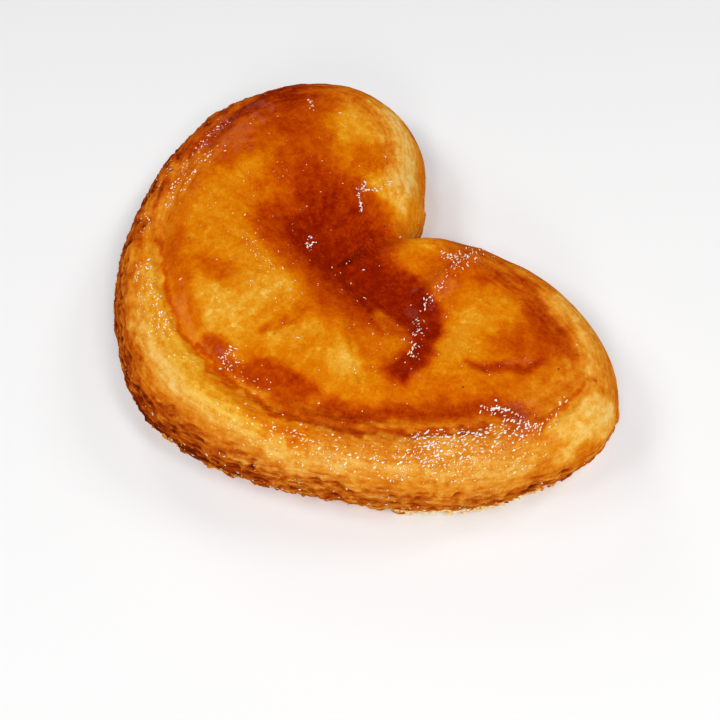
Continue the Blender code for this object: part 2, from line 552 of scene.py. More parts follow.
POOL_WASHES = (
    wash(0.70, 10, 5, (-40, 16), (-26, 16), (-10, 16), (0, 18)),
    wash(0.80, 5, 4, (-22, 22), (-10, 22), (-1, 18)),
    wash(0.88, 6, 4, (-33, 16), (-26, 16)),
    wash(0.94, 7, 4, (-20, 13), (-8, 14), (0, 12)),
    wash(0.78, 10, 4, (-22, 0), (-6, 2), (10, 3), (24, 8)),
    wash(1.02, 8, 3, (-14, 4), (0, 6), (12, 8), (22, 10)),
    wash(1.00, 5.5, 3, (20, 13), (28, 12), (35, 8)),
    wash(1.00, 3.2, 2, (34, 9), (38, 6), (41, 1), (42, -4)),
    wash(0.95, 5, 3, (-10, 12), (-2, 16)),
    wash(0.60, 2.2, 1.6, (24, 4), (29, 3)),
)
TIP_WASHES = (
    wash(0.34, 9, 6, (-36, -16), (-24, -20), (-8, -22)),
    wash(0.26, 11, 6, (-4, -18), (4, -24), (-2, -32)),
    wash(0.34, 10, 5, (16, -16), (30, -14), (36, -18)),
    wash(0.15, 6, 4, (-11, -32), (0, -33)),
    wash(0.10, 3, 3, (-10, -30), (-3, -31)),
    wash(0.12, 3.6, 3, (-2, -13), (-2, -24)),
    wash(0.10, 4, 3, (28, -15), (33, -15)),
    wash(0.18, 2, 2, (17, -15), (17, -20)),
    wash(0.16, 2, 2, (15, -24), (16, -29)),
    wash(0.56, 1.5, 1.5, (10, -12), (11, -20), (9, -26)),
    wash(0.58, 3.5, 3, (-20, -28), (-15, -26)),
    wash(0.60, 3, 3, (-36, -31), (-28, -36), (-18, -39), (-6, -41)),
    wash(0.70, 2, 2, (-34, -34), (-27, -37)),
    wash(0.50, 5, 4, (-58, -8), (-52, -20), (-44, -28)),
    wash(0.50, 4, 3, (8, -8), (22, -6), (36, -7)),
)
COIL_WASHES = (
    wash(0.32, 7, 4, (-62, -23), (-50, -34), (-30, -44), (0, -48), (26, -44), (48, -28), (66, -8)),
    wash(0.26, 8, 4, (-10, -54), (10, -54), (36, -44), (60, -22), (76, -2)),
    wash(0.06, 3.0, 2.0, (-46, -39), (-30, -47), (-10, -51.5), (6, -51.5), (28, -47), (46, -37)),
    wash(0.03, 2.6, 2.4, (-24, -49), (-6, -53), (12, -53), (24, -49)),
    wash(0.04, 2.4, 2.2, (20, -50), (34, -44), (48, -35), (58, -27)),
    wash(0.20, 3.0, 2.6, (56, -29), (64, -20), (72, -9), (78, 3)),
    wash(0.30, 2.0, 1.6, (40, -34), (54, -23), (64, -11)),
    wash(0.74, 2.6, 2, (3, -39.5), (12, -38.5), (20, -35)),
    wash(0.80, 4.0, 2.2, (18, -33), (25, -30), (31, -28)),
    wash(0.70, 2.2, 2, (28, -34), (37, -31), (44, -25)),
    wash(0.62, 2.6, 2.5, (40, -24), (48, -14), (56, -2)),
    wash(0.82, 2.2, 1.8, (38, -26), (46, -19), (50, -11), (56, -4), (61, 2), (66, 9), (69, 12)),
    wash(0.74, 1.0, 1, (42, -28), (50, -21), (56, -15), (63, -7), (67, 2)),
    wash(0.56, 3.5, 2.5, (-78, 6), (-75, -6), (-70, -14)),
    wash(0.13, 3.2, 2.0, (-66, -14), (-58, -25), (-42, -38), (-28, -44)),
    wash(0.10, 2.8, 1.8, (-28, -43.5), (-12, -47.5), (0, -48.5), (14, -47)),
    wash(0.36, 2.4, 2.0, (14, -45), (24, -43), (44, -31), (60, -15)),
    wash(0.62, 0.8, 0.6, (-40, -33), (-22, -41), (0, -45), (18, -43)),
    wash(0.74, 0.9, 0.5, (0, -43), (14, -42), (28, -38), (46, -25), (58, -11), (66, 2)),
    wash(0.80, 2.2, 2.5, (64, 8), (70, 10), (74, 14)),
)
SMALL_ROLL_WASHES = (
    wash(0.50, 9, 6, (48, 2), (54, 8), (60, 14)),
    wash(0.45, 14, 5, (43, 21)),
    wash(0.30, 8.5, 5, (43, 25), (44, 13)),
    wash(0.22, 3, 3, (40, 23), (42, 14)),
    wash(0.66, 7, 5, (54, 28), (58, 30)),
    wash(0.74, 4, 3, (32, 36), (42, 40), (52, 40), (61, 37)),
    wash(0.80, 3.4, 2.6, (50, 38), (57, 35)),
    wash(0.84, 1.8, 1.6, (62, 28), (59, 20), (54, 15), (51, 13)),
    wash(0.44, 4, 3, (67, 28), (68, 18)),
    wash(0.52, 4, 3, (22, 46), (30, 50), (45, 51)),
    wash(0.38, 4, 3, (48, 51), (60, 48), (72, 43)),
    wash(0.20, 3.5, 2.5, (50, 45), (62, 43), (71, 36)),
    wash(0.30, 3.0, 2.5, (74, 36), (77, 28), (76, 16)),
    wash(0.03, 4.6, 1.4, (80.5, 32), (81.5, 24), (80.5, 15)),
    wash(0.60, 0.7, 0.6, (72, 35), (74, 26), (74.5, 19), (77, 12), (82, 7)),
    wash(0.28, 3, 2.5, (74, 2), (79, 8), (82, 14)),
)


@dataclass(frozen=True)
class WallBake:
    """The wall's bake at one bearing from the hub.

    The tide is how high up the wall its bare crust reaches. The foot, the upper wall and the lip
    each have a level, from 0, cream, to a little past 1, mahogany.
    """

    bearing: float
    tide: float
    foot: float
    upper: float
    lip: float


@dataclass(frozen=True)
class Baking:
    """How brown each place of the crust is, from 0, cream, to 1, mahogany, and how yolk-yellow."""

    bare: float = 0.46
    warp: float = 2.2
    warp_size: float = 11.0
    fine_warp: float = 0.7
    fine_warp_size: float = 2.6
    mottle: float = 0.07
    mottle_size: float = 3.2
    freckle: float = 0.03
    freckle_size: float = 0.9
    radial: float = 0.07
    radial_size: float = 2.2
    ringwise: float = 0.07
    ringwise_size: float = 2.6
    # the distances from the hub between which the radial streaks set in
    hub_band: Point = (6.0, 18.0)
    # the shares of the way out between which the streaks turn from radial to ringwise
    coil_band: Point = (0.65, 0.90)
    # how far above and below the tide the wall's bake begins and is full
    tide_fade: Point = (4.0, -5.0)
    # the shares of the way down from the crown's ring between which the wall's bake sets in
    shoulder_band: Point = (0.02, 0.32)
    tide_wander: float = 2.0
    tide_nibble: float = 0.9
    # the heights between which the foot's bake gives way to the upper wall's, and to the lip's
    upper_band: Point = (6.0, 14.0)
    lip_band: Point = (2.8, 1.5)
    lip_strength: float = 0.85
    wall_streak: float = 0.10
    paler_crest: float = 0.24
    inner_yolk: float = 0.45
    washes: tuple[Wash, ...] = (
        *LARGE_ROLL_WASHES,
        *TIP_WASHES,
        *SMALL_ROLL_WASHES,
        *COIL_WASHES,
        *NOTCH_WASHES,
        *POOL_WASHES,
    )
    wall_bakes: tuple[WallBake, ...] = (
        WallBake(-175, 25, 1.02, 0.88, 0.70),
        WallBake(-155, 25, 1.04, 0.84, 0.70),
        WallBake(-140, 24, 1.06, 0.80, 0.66),
        WallBake(-122, 24, 1.04, 0.72, 0.60),
        WallBake(-106, 23, 1.04, 0.72, 0.50),
        # At the lower left the wall is darker: dark bake, and partly painted shade.
        WallBake(-92, 21, 1.12, 0.84, 0.50),
        WallBake(-78, 20, 1.12, 0.80, 0.55),
        WallBake(-64, 19, 1.02, 0.70, 0.55),
        WallBake(-50, 18.5, 0.72, 0.56, 0.44),
        WallBake(-35, 17.5, 0.66, 0.54, 0.26),
        # Here the foot's lip is painted pale: pale flaky layers, and partly their painted glint.
        WallBake(-15, 16, 0.64, 0.52, 0.00),
        WallBake(7, 14, 0.72, 0.60, 0.06),
        WallBake(25, 13, 0.68, 0.60, 0.35),
        WallBake(50, 12, 0.70, 0.62, 0.40),
        WallBake(80, 10, 0.66, 0.60, 0.40),
        WallBake(96, 12, 0.56, 0.50, 0.40),
        WallBake(104, 5, 0.50, 0.46, 0.40),
        WallBake(112, 5, 0.50, 0.46, 0.40),
        WallBake(123, 19, 0.90, 0.84, 0.50),
        WallBake(140, 18, 0.88, 0.74, 0.50),
        WallBake(165, 24, 0.96, 0.86, 0.60),
    )
    yolk: Wash = wash(
        1.0, 4.6, 3.2, (-72, -4), (-66, -16), (-56, -29), (-42, -39), (-28, -44), (-12, -47), (4, -48),
        (20, -46), (40, -36),
    )

    def yolkiness(self, x: Array, y: Array, out: Array, grain: Grain) -> Array:
        """How yolk-yellow the pale crust is: fully along its trail, and partly within the coil.

        Args:
            x: the places' first coordinate.
            y: the places' second coordinate.
            out: the share of the way from the hub to the crown's ring.
            grain: the noise.

        Returns:
            The share of yolk-yellow at each place.
        """
        wobble = 1.2 * grain.cloud(flat_places(x, y, 41.0), 6.0, 3)
        return self.yolk.lay(self.inner_yolk * smoothstep(1.0, 0.85, out), x, y, wobble)

    def streaks(self, x: Array, y: Array, out: Array, grain: Grain) -> Array:
        """Noise drawn out from the hub in the middle of the top, and along the coil outside it.

        Args:
            x: the places' first coordinate.
            y: the places' second coordinate.
            out: the share of the way from the hub to the crown's ring.
            grain: the noise.

        Returns:
            How much each place's level is moved.
        """
        away = np.hypot(x, y) + 1e-6
        # a circle of 30 mm stands for the bearing, and the way out is shortened or stretched
        around = np.stack([30.0 * x / away, 30.0 * y / away], axis=-1)
        rays = np.concatenate([around, 0.22 * away[..., None]], axis=-1)
        rings = np.concatenate([0.3 * around, 60.0 * out[..., None]], axis=-1)
        radial = self.radial * grain.cloud(rays, self.radial_size, 3)
        ringwise = self.ringwise * grain.cloud(rings, self.ringwise_size, 3)
        outer = smoothstep(*self.coil_band, out)
        return radial * (1.0 - outer) * smoothstep(*self.hub_band, away) + ringwise * outer

    def top(self, x: Array, y: Array, grain: Grain) -> Array:
        """The level on the top and shoulder: every wash over the last, with wandering edges.

        Args:
            x: the places' first coordinate.
            y: the places' second coordinate.
            grain: the noise.

        Returns:
            The level at each place.
        """
        places = flat_places(x, y)
        wx = x + self.warp * grain.cloud(places + 3.1, self.warp_size, 3)
        wy = y + self.warp * grain.cloud(places + 61.7, self.warp_size, 3)
        wobble = self.fine_warp * grain.cloud(places + 23.0, self.fine_warp_size, 3)
        level = np.full(np.shape(x), self.bare)
        for one in self.washes:
            level = one.lay(level, wx, wy, wobble)
        level = level + self.mottle * grain.cloud(places + 90.0, self.mottle_size, 3)
        return level + self.freckle * grain.read(places + 120.0, self.freckle_size)

    def _round_wall(self, bearing: Array, part: str) -> Array:
        """One measure of the wall's bakes, read between the bearings at which it is given.

        Args:
            bearing: the direction of each place from the hub, in degrees from +X.
            part: which measure, by its name in WallBake.

        Returns:
            The measure at each place.
        """
        given = [bake.bearing for bake in self.wall_bakes]
        return np.interp(bearing, given, [getattr(bake, part) for bake in self.wall_bakes], period=360.0)

    def wall_share(self, places: Array, bearing: Array, down: Array, grain: Grain) -> Array:
        """How much of the wall's dark bake shows at each place, from 0 to 1.

        Args:
            places: the places.
            bearing: the direction of each from the hub, in degrees from +X.
            down: the share of the way from the crown's ring to the outline.
            grain: the noise.

        Returns:
            The share below the tide, whose line wanders; it is 0 on the top.
        """
        tide = self._round_wall(bearing, "tide")
        tide = tide + self.tide_wander * grain.cloud(places, 9.0, 2)
        tide = tide + self.tide_nibble * grain.read(places, (6.0, 6.0, 1.4))
        above, below = self.tide_fade
        shoulder = smoothstep(*self.shoulder_band, down)
        return smoothstep(tide + above, tide + below, places[..., 2]) * shoulder

    def wall(self, places: Array, bearing: Array, wrinkles: Array, grain: Grain) -> Array:
        """The level on the wall: dark low down, orange higher up, and golden on the foot's lip.

        Args:
            places: the places.
            bearing: the direction of each from the hub, in degrees from +X.
            wrinkles: the wall's wrinkles there, whose crests are paler.
            grain: the noise.

        Returns:
            The level at each place, with streaks along the leaves and blotches.
        """
        height = places[..., 2] + 2.5 * grain.cloud(places + 33.0, 8.0, 2)
        level, upper, lip = (self._round_wall(bearing, part) for part in ("foot", "upper", "lip"))
        level = level + (upper - level) * smoothstep(*self.upper_band, height)
        level = level + (lip - level) * self.lip_strength * smoothstep(*self.lip_band, places[..., 2])
        streaks = grain.cloud(places * (0.16, 0.16, 1.0), 1.5, 3)
        return level + self.wall_streak * streaks - self.paler_crest * wrinkles


@dataclass(frozen=True)
class Blistering:
    """Where the glaze has boiled into small bubbles and set."""

    plain: float = 0.06
    patches: tuple[Wash, ...] = (
        wash(1.0, 9, 5, (66, -10), (70, 0), (72, 12)),
        wash(0.9, 5, 4, (36, -36), (50, -26), (62, -12)),
        wash(0.8, 2.5, 2, (24, 42), (24, 30), (26, 20), (33, 9), (41, -1)),
        wash(0.7, 2.5, 2, (23, 36), (19, 30), (16, 26)),
        wash(0.8, 3, 2, (-18, 31), (-14, 26), (-11, 20)),
        wash(0.8, 2.5, 2, (-12, 3), (-10, 1)),
        wash(0.7, 3, 2, (-72, 10), (-66, -2), (-58, -16), (-50, -26)),
        wash(0.7, 3, 2, (-62, 0), (-56, -12)),
        wash(0.6, 2, 2, (-60, 38), (-56, 35)),
        wash(0.6, 3, 2, (-34, -40), (-20, -44), (-4, -46)),
        wash(0.8, 2.5, 2, (8, -38), (14, -39)),
        wash(0.5, 2.5, 2, (-22, -12), (-10, -14), (0, -12)),
        wash(0.5, 2, 2, (-34, -4), (-26, -8)),
        wash(0.5, 2, 2, (56, 12), (62, 20)),
    )

    def spread(self, x: Array, y: Array, grain: Grain) -> Array:
        """How strongly the glaze is blistered: the patches laid over the plain glaze.

        Args:
            x: the places' first coordinate.
            y: the places' second coordinate.
            grain: the noise, which makes the patches' edges wander.

        Returns:
            The strength at each place, from 0 to 1.
        """
        places = flat_places(x, y)
        wobble = 1.2 * grain.cloud(places + 7.0, 3.0, 2)
        level = np.full(np.shape(x), self.plain)
        for patch in self.patches:
            level = patch.lay(level, x, y, wobble)
        return level


# ------------------------------------------------------------------------------------ finishes


class Sock:
    """A shader socket that takes part in Python expressions: each operator adds a Math node."""

    def __init__(self, nodes: "Nodes", socket: Any) -> None:
        """Wraps a socket.

        Args:
            nodes: the tree that the socket belongs to.
            socket: the output socket.
        """
        self.nodes = nodes
        self.socket = socket

    def _math(self, operation: str, first: Any, second: Any) -> "Sock":
        """A Math node on two values."""
        return self.nodes.add("ShaderNodeMath", {"operation": operation}, {0: first, 1: second})

    def __add__(self, other: Any) -> "Sock":
        """Sum."""
        return self._math("ADD", self, other)

    __radd__ = __add__

    def __sub__(self, other: Any) -> "Sock":
        """Difference."""
        return self._math("SUBTRACT", self, other)

    def __rsub__(self, other: Any) -> "Sock":
        """Difference, the other way round."""
        return self._math("SUBTRACT", other, self)

    def __mul__(self, other: Any) -> "Sock":
        """Product."""
        return self._math("MULTIPLY", self, other)

    __rmul__ = __mul__

    def __abs__(self) -> "Sock":
        """Size without sign."""
        return self._math("ABSOLUTE", self, 0.0)

    def clamp(self, low: float = 0.0, high: float = 1.0) -> "Sock":
        """The value held between two limits."""
        return self._math("MINIMUM", self._math("MAXIMUM", self, low), high)


class Nodes:
    """Builds a material's node tree."""

    def __init__(self, name: str) -> None:
        """Starts a material that holds a Principled BSDF and its output.

        Args:
            name: the material's name.
        """
        self.material = bpy.data.materials.new(name)
        self.material.use_nodes = True
        self.tree = self.material.node_tree
        self.shader = self.tree.nodes["Principled BSDF"]

    def add(
        self,
        kind: str,
        settings: Optional[dict[str, Any]] = None,
        inputs: Optional[dict[Union[int, str], Any]] = None,
        output: Union[int, str] = 0,
    ) -> Sock:
        """Adds a node, with its settings made before its inputs.

        Args:
            kind: the node's type.
            settings: its properties; stops gives a colour ramp's places and colours.
            inputs: a value or a link for each socket, by number or name.
            output: which output is wanted.

        Returns:
            The output, ready for an expression.
        """
        node = self.tree.nodes.new(kind)
        for name, value in (settings or {}).items():
            if name == "stops":
                self._set_stops(node.color_ramp, value)
            else:
                setattr(node, name, value)
        for name, value in (inputs or {}).items():
            self.feed(node.inputs[name], value)
        return Sock(self, node.outputs[output])

    def feed(self, socket: Any, value: Any) -> None:
        """Links a socket, or sets its value.

        Args:
            socket: the input socket.
            value: an output socket, wrapped, or a plain value.
        """
        if isinstance(value, Sock):
            self.tree.links.new(value.socket, socket)
        else:
            socket.default_value = value

    def dress(self, **inputs: Any) -> None:
        """Feeds the Principled BSDF; underscores in a name stand for spaces."""
        for name, value in inputs.items():
            self.feed(self.shader.inputs[name.replace("_", " ").title().replace("Ior", "IOR")], value)

    @staticmethod
    def _set_stops(ramp: Any, stops: Sequence[tuple[float, Colour]]) -> None:
        """Puts the stops on a colour ramp, which starts with two.

        Args:
            ramp: the colour ramp.
            stops: the place and the colour of each stop.
        """
        while len(ramp.elements) < len(stops):
            ramp.elements.new(1.0)
        for element, (place, colour) in zip(ramp.elements, stops):
            element.position = place
            element.color = (*colour, 1.0)


class Bake(Enum):
    """The crust's colours, by how brown it is: place on the scale, and linear colour."""

    PALE = (-0.15, (0.880, 0.600, 0.190))
    CREAM = (0.00, (0.850, 0.480, 0.088))
    BUTTER = (0.08, (0.825, 0.400, 0.046))
    STRAW = (0.18, (0.775, 0.312, 0.015))
    GOLD = (0.33, (0.720, 0.220, 0.0032))
    HONEY = (0.46, (0.660, 0.156, 0.0014))
    AMBER = (0.56, (0.600, 0.113, 0.0010))
    ORANGE = (0.66, (0.535, 0.079, 0.0008))
    RUSSET = (0.76, (0.470, 0.052, 0.0006))
    CHESTNUT = (0.88, (0.375, 0.029, 0.0004))
    MAHOGANY = (1.00, (0.270, 0.012, 0.0003))
    GARNET = (1.10, (0.205, 0.008, 0.0003))


class DryBake(Enum):
    """The colours of bare crust on the wall, by how brown it is: place, and linear colour."""

    PITH = (0.00, (0.860, 0.520, 0.170))
    WHEAT = (0.25, (0.760, 0.310, 0.050))
    TOAST = (0.50, (0.580, 0.150, 0.009))
    BARK = (0.75, (0.370, 0.062, 0.004))
    UMBER = (0.90, (0.200, 0.027, 0.003))
    CHAR = (1.05, (0.085, 0.012, 0.002))


@dataclass(frozen=True)
class GlazedCrust:
    """Baked crust under a caramelised sugar glaze, coloured by how brown each place is."""

    name: str = "glazed_crust"
    mottle: float = 0.22
    mottle_scale: float = 450.0
    freckle: float = 0.24
    freckle_scale: float = 1100.0
    speck: float = 0.20
    speck_scale: float = 2600.0
    chip: float = 0.11
    chip_scale: float = 330.0
    chip_start: float = 0.06
    chip_sharpness: float = 14.0
    vein: float = 0.07
    vein_scale: float = 210.0
    vein_sharpness: float = 40.0
    streak: float = 1.4
    streak_scale: float = 760.0
    streak_stretch: float = 0.22
    dryness: float = 0.75
    yolk_shield: float = 0.8
    yolk: Colour = (1.0, 0.89, 0.30)
    dry_roughness: float = 0.60
    glazed_roughness: float = 0.20
    sheet: float = 0.02
    beads: float = 0.05
    bead_start: float = 0.06
    bead_edge: float = 0.06
    coat_roughness: float = 0.10
    coat_ior: float = 1.9
    pebble: float = 0.00002
    pebble_scale: float = 900.0
    blister: float = 0.00040
    blister_scale: float = 800.0
    bead_scale: float = 1300.0
    leaf: float = 0.0014

    def material(self) -> bpy.types.Material:
        """Makes the material.

        The mesh's browning attribute, with mottling, freckles, chips, veins and the streaks of
        the leaves added, picks the colour from two ramps, glazed and dry. Its glaze attribute
        makes the crust smoother and lays a thin coat on it. Its blister attribute deepens the
        pebbles and lays a coat on their beads. Its flaky attribute deepens the streaks, which
        run at right angles to its ply attribute, and brings in the dry ramp. Its yolk attribute
        multiplies the glazed colour by the yolk's, and keeps the dry ramp away.

        Returns:
            The material.
        """
        nodes = Nodes(self.name)
        browning, glaze, blister, flaky, ply, yolk = (
            nodes.add("ShaderNodeAttribute", {"attribute_name": name}, output="Fac")
            for name in ("browning", "glaze", "blister", "flaky", "ply", "yolk")
        )
        place = nodes.add("ShaderNodeTexCoord", output="Object")
        rise = nodes.add("ShaderNodeCombineXYZ", None, {"Z": ply})
        along = nodes.add(
            "ShaderNodeVectorMath",
            {"operation": "MULTIPLY_ADD"},
            {0: place, 1: (self.streak_stretch, self.streak_stretch, 0.0), 2: rise},
        )

        def noise(scale: float, detail: float = 2.0, at: Sock = place) -> Sock:
            """Noise about 0, of the given scale per metre."""
            made = nodes.add("ShaderNodeTexNoise", None, {"Vector": at, "Scale": scale, "Detail": detail})
            return made - 0.5

        strands = noise(self.streak_scale, 3.0, along)
        chips = ((noise(self.chip_scale, 4.0) - self.chip_start) * self.chip_sharpness).clamp()
        veins = (1.0 - abs(noise(self.vein_scale, 4.0)) * self.vein_sharpness).clamp()
        patches = (self.vein * veins - self.chip * chips) * (1.2 - browning).clamp()
        mottling = self.mottle * noise(self.mottle_scale)
        level = browning + mottling + self.freckle * noise(self.freckle_scale, 1.0) + patches
        level = level + self.speck * noise(self.speck_scale, 1.0) + self.streak * flaky * strands
        glazed, bare = (self._ramp(nodes, bake, level) for bake in (Bake, DryBake))
        blend = {"data_type": "RGBA", "blend_type": "MULTIPLY"}
        glazed = nodes.add("ShaderNodeMix", blend, {"Factor": yolk, 6: glazed, 7: (*self.yolk, 1.0)}, 2)
        drying = self.dryness * flaky * (1.0 - self.yolk_shield * yolk)
        colour = nodes.add("ShaderNodeMix", {"data_type": "RGBA"}, {"Factor": drying, 6: glazed, 7: bare}, 2)
        roughness = self.dry_roughness + (self.glazed_roughness - self.dry_roughness) * glaze
        pebbles = self.pebble * noise(self.pebble_scale, 1.0)
        pebbles = pebbles + self.blister * blister * noise(self.blister_scale, 1.0)
        pebbles = pebbles + self.leaf * flaky * strands
        bead = ((noise(self.bead_scale, 1.0) - self.bead_start) * (1.0 / self.bead_edge)).clamp()
        relief = nodes.add(
            "ShaderNodeBump", None, {"Strength": 1.0, "Distance": 1.0, "Height": pebbles}, "Normal"
        )
        nodes.dress(
            base_color=colour,
            roughness=roughness,
            specular_ior_level=0.0,
            normal=relief,
            coat_weight=(self.sheet * glaze + self.beads * blister * bead).clamp(),
            coat_roughness=self.coat_roughness,
            coat_ior=self.coat_ior,
            subsurface_weight=0.06,
            subsurface_radius=(1.0, 0.35, 0.1),
            subsurface_scale=0.0015,
        )
        return nodes.material

    @staticmethod
    def _ramp(nodes: Nodes, bake: type[Enum], level: Sock) -> Sock:
        """A colour ramp over a bake's scale, which is stretched to run from 0 to 1.

        Args:
            nodes: the tree.
            bake: the bake's colours.
            level: how brown each place is.

        Returns:
            The colour.
        """
        low = min(shade.value[0] for shade in bake)
        span = max(shade.value[0] for shade in bake) - low
        stops = [((shade.value[0] - low) / span, shade.value[1]) for shade in bake]
        place = (level - low) * (1.0 / span)
        return nodes.add("ShaderNodeValToRGB", {"stops": stops}, {"Fac": place.clamp()})


@dataclass(frozen=True)
class GlintPaintedGrain:
    """Beads painted white and warm yellow as painted glints of the glaze, with a gloss of their own."""

    name: str = "glint_painted_grain"
    white_glint: Colour = (0.98, 0.95, 0.91)
    warm_glint: Colour = (0.98, 0.84, 0.54)

    def material(self) -> bpy.types.Material:
        """Makes the material: the two painted glint colours mixed by noise, with a pitted gloss.

        Returns:
            The material.
        """
        nodes = Nodes(self.name)
        place = nodes.add("ShaderNodeTexCoord", output="Object")
        blotch = nodes.add("ShaderNodeTexNoise", None, {"Vector": place, "Scale": 160.0, "Detail": 2.0})
        pits = nodes.add("ShaderNodeTexNoise", None, {"Vector": place, "Scale": 5000.0, "Detail": 1.0})
        tinted = ((blotch - 0.42) * 5.0).clamp()
        colour = nodes.add(
            "ShaderNodeMix",
            {"data_type": "RGBA"},
            {"Factor": tinted, 6: (*self.white_glint, 1.0), 7: (*self.warm_glint, 1.0)},
            2,
        )
        relief = nodes.add(
            "ShaderNodeBump", None, {"Strength": 1.0, "Distance": 1.0, "Height": pits * 0.00002}, "Normal"
        )
        nodes.dress(base_color=colour, roughness=0.15 + 0.2 * pits, specular_ior_level=0.6, normal=relief)
        return nodes.material


@dataclass(frozen=True)
class BurntSugar:
    """Specks of sugar that have burnt black."""

    name: str = "burnt_sugar"
    colour: Colour = (0.020, 0.008, 0.004)
    roughness: float = 0.4

    def material(self) -> bpy.types.Material:
        """Makes the material: one dark, half-glossy colour.

        Returns:
            The material.
        """
        nodes = Nodes(self.name)
        nodes.dress(base_color=(*self.colour, 1.0), roughness=self.roughness, specular_ior_level=0.2)
        return nodes.material


@dataclass(frozen=True)
class PaleFloor:
    """The plain pale sweep that the pastry stands on."""

    name: str = "pale_floor"
    colour: Colour = (0.93, 0.93, 0.93)
    roughness: float = 0.9

    def material(self) -> bpy.types.Material:
        """Makes the material: one matt colour.

        Returns:
            The material.
        """
        nodes = Nodes(self.name)
        nodes.dress(base_color=(*self.colour, 1.0), roughness=self.roughness)
        return nodes.material


# -------------------------------------------------------------------------------------- pieces


def make_piece(
    name: str,
    points: Array,
    faces: Array,
    finish: bpy.types.Material,
    values: Optional[dict[str, Array]] = None,
) -> bpy.types.Object:
    """Makes a mesh object at the origin.

    Args:
        name: the piece's name.
        points: its points in millimetres.
        faces: its faces, as rows of point numbers, all of one length.
        finish: its material.
        values: a number for each point, by attribute name.

    Returns:
        The object, shaded smooth and linked to the scene.
    """
    mesh = bpy.data.meshes.new(name)
    mesh.vertices.add(len(points))
    mesh.vertices.foreach_set("co", (points * MM).astype(np.float32).ravel())
    corners = faces.shape[1]
    mesh.loops.add(faces.size)
    mesh.loops.foreach_set("vertex_index", faces.astype(np.int32).ravel())
    mesh.polygons.add(len(faces))
    mesh.polygons.foreach_set("loop_start", np.arange(0, faces.size, corners, dtype=np.int32))
    for attribute, value in (values or {}).items():
        layer = mesh.attributes.new(attribute, "FLOAT", "POINT")
        layer.data.foreach_set("value", np.asarray(value, dtype=np.float32).ravel())
    mesh.update(calc_edges=True)
    mesh.validate()
    mesh.shade_smooth()
    mesh.materials.append(finish)
    piece = bpy.data.objects.new(name, mesh)
    bpy.context.scene.collection.objects.link(piece)
    LOG.info("%s: %d points, %d faces", name, len(points), len(faces))
    return piece


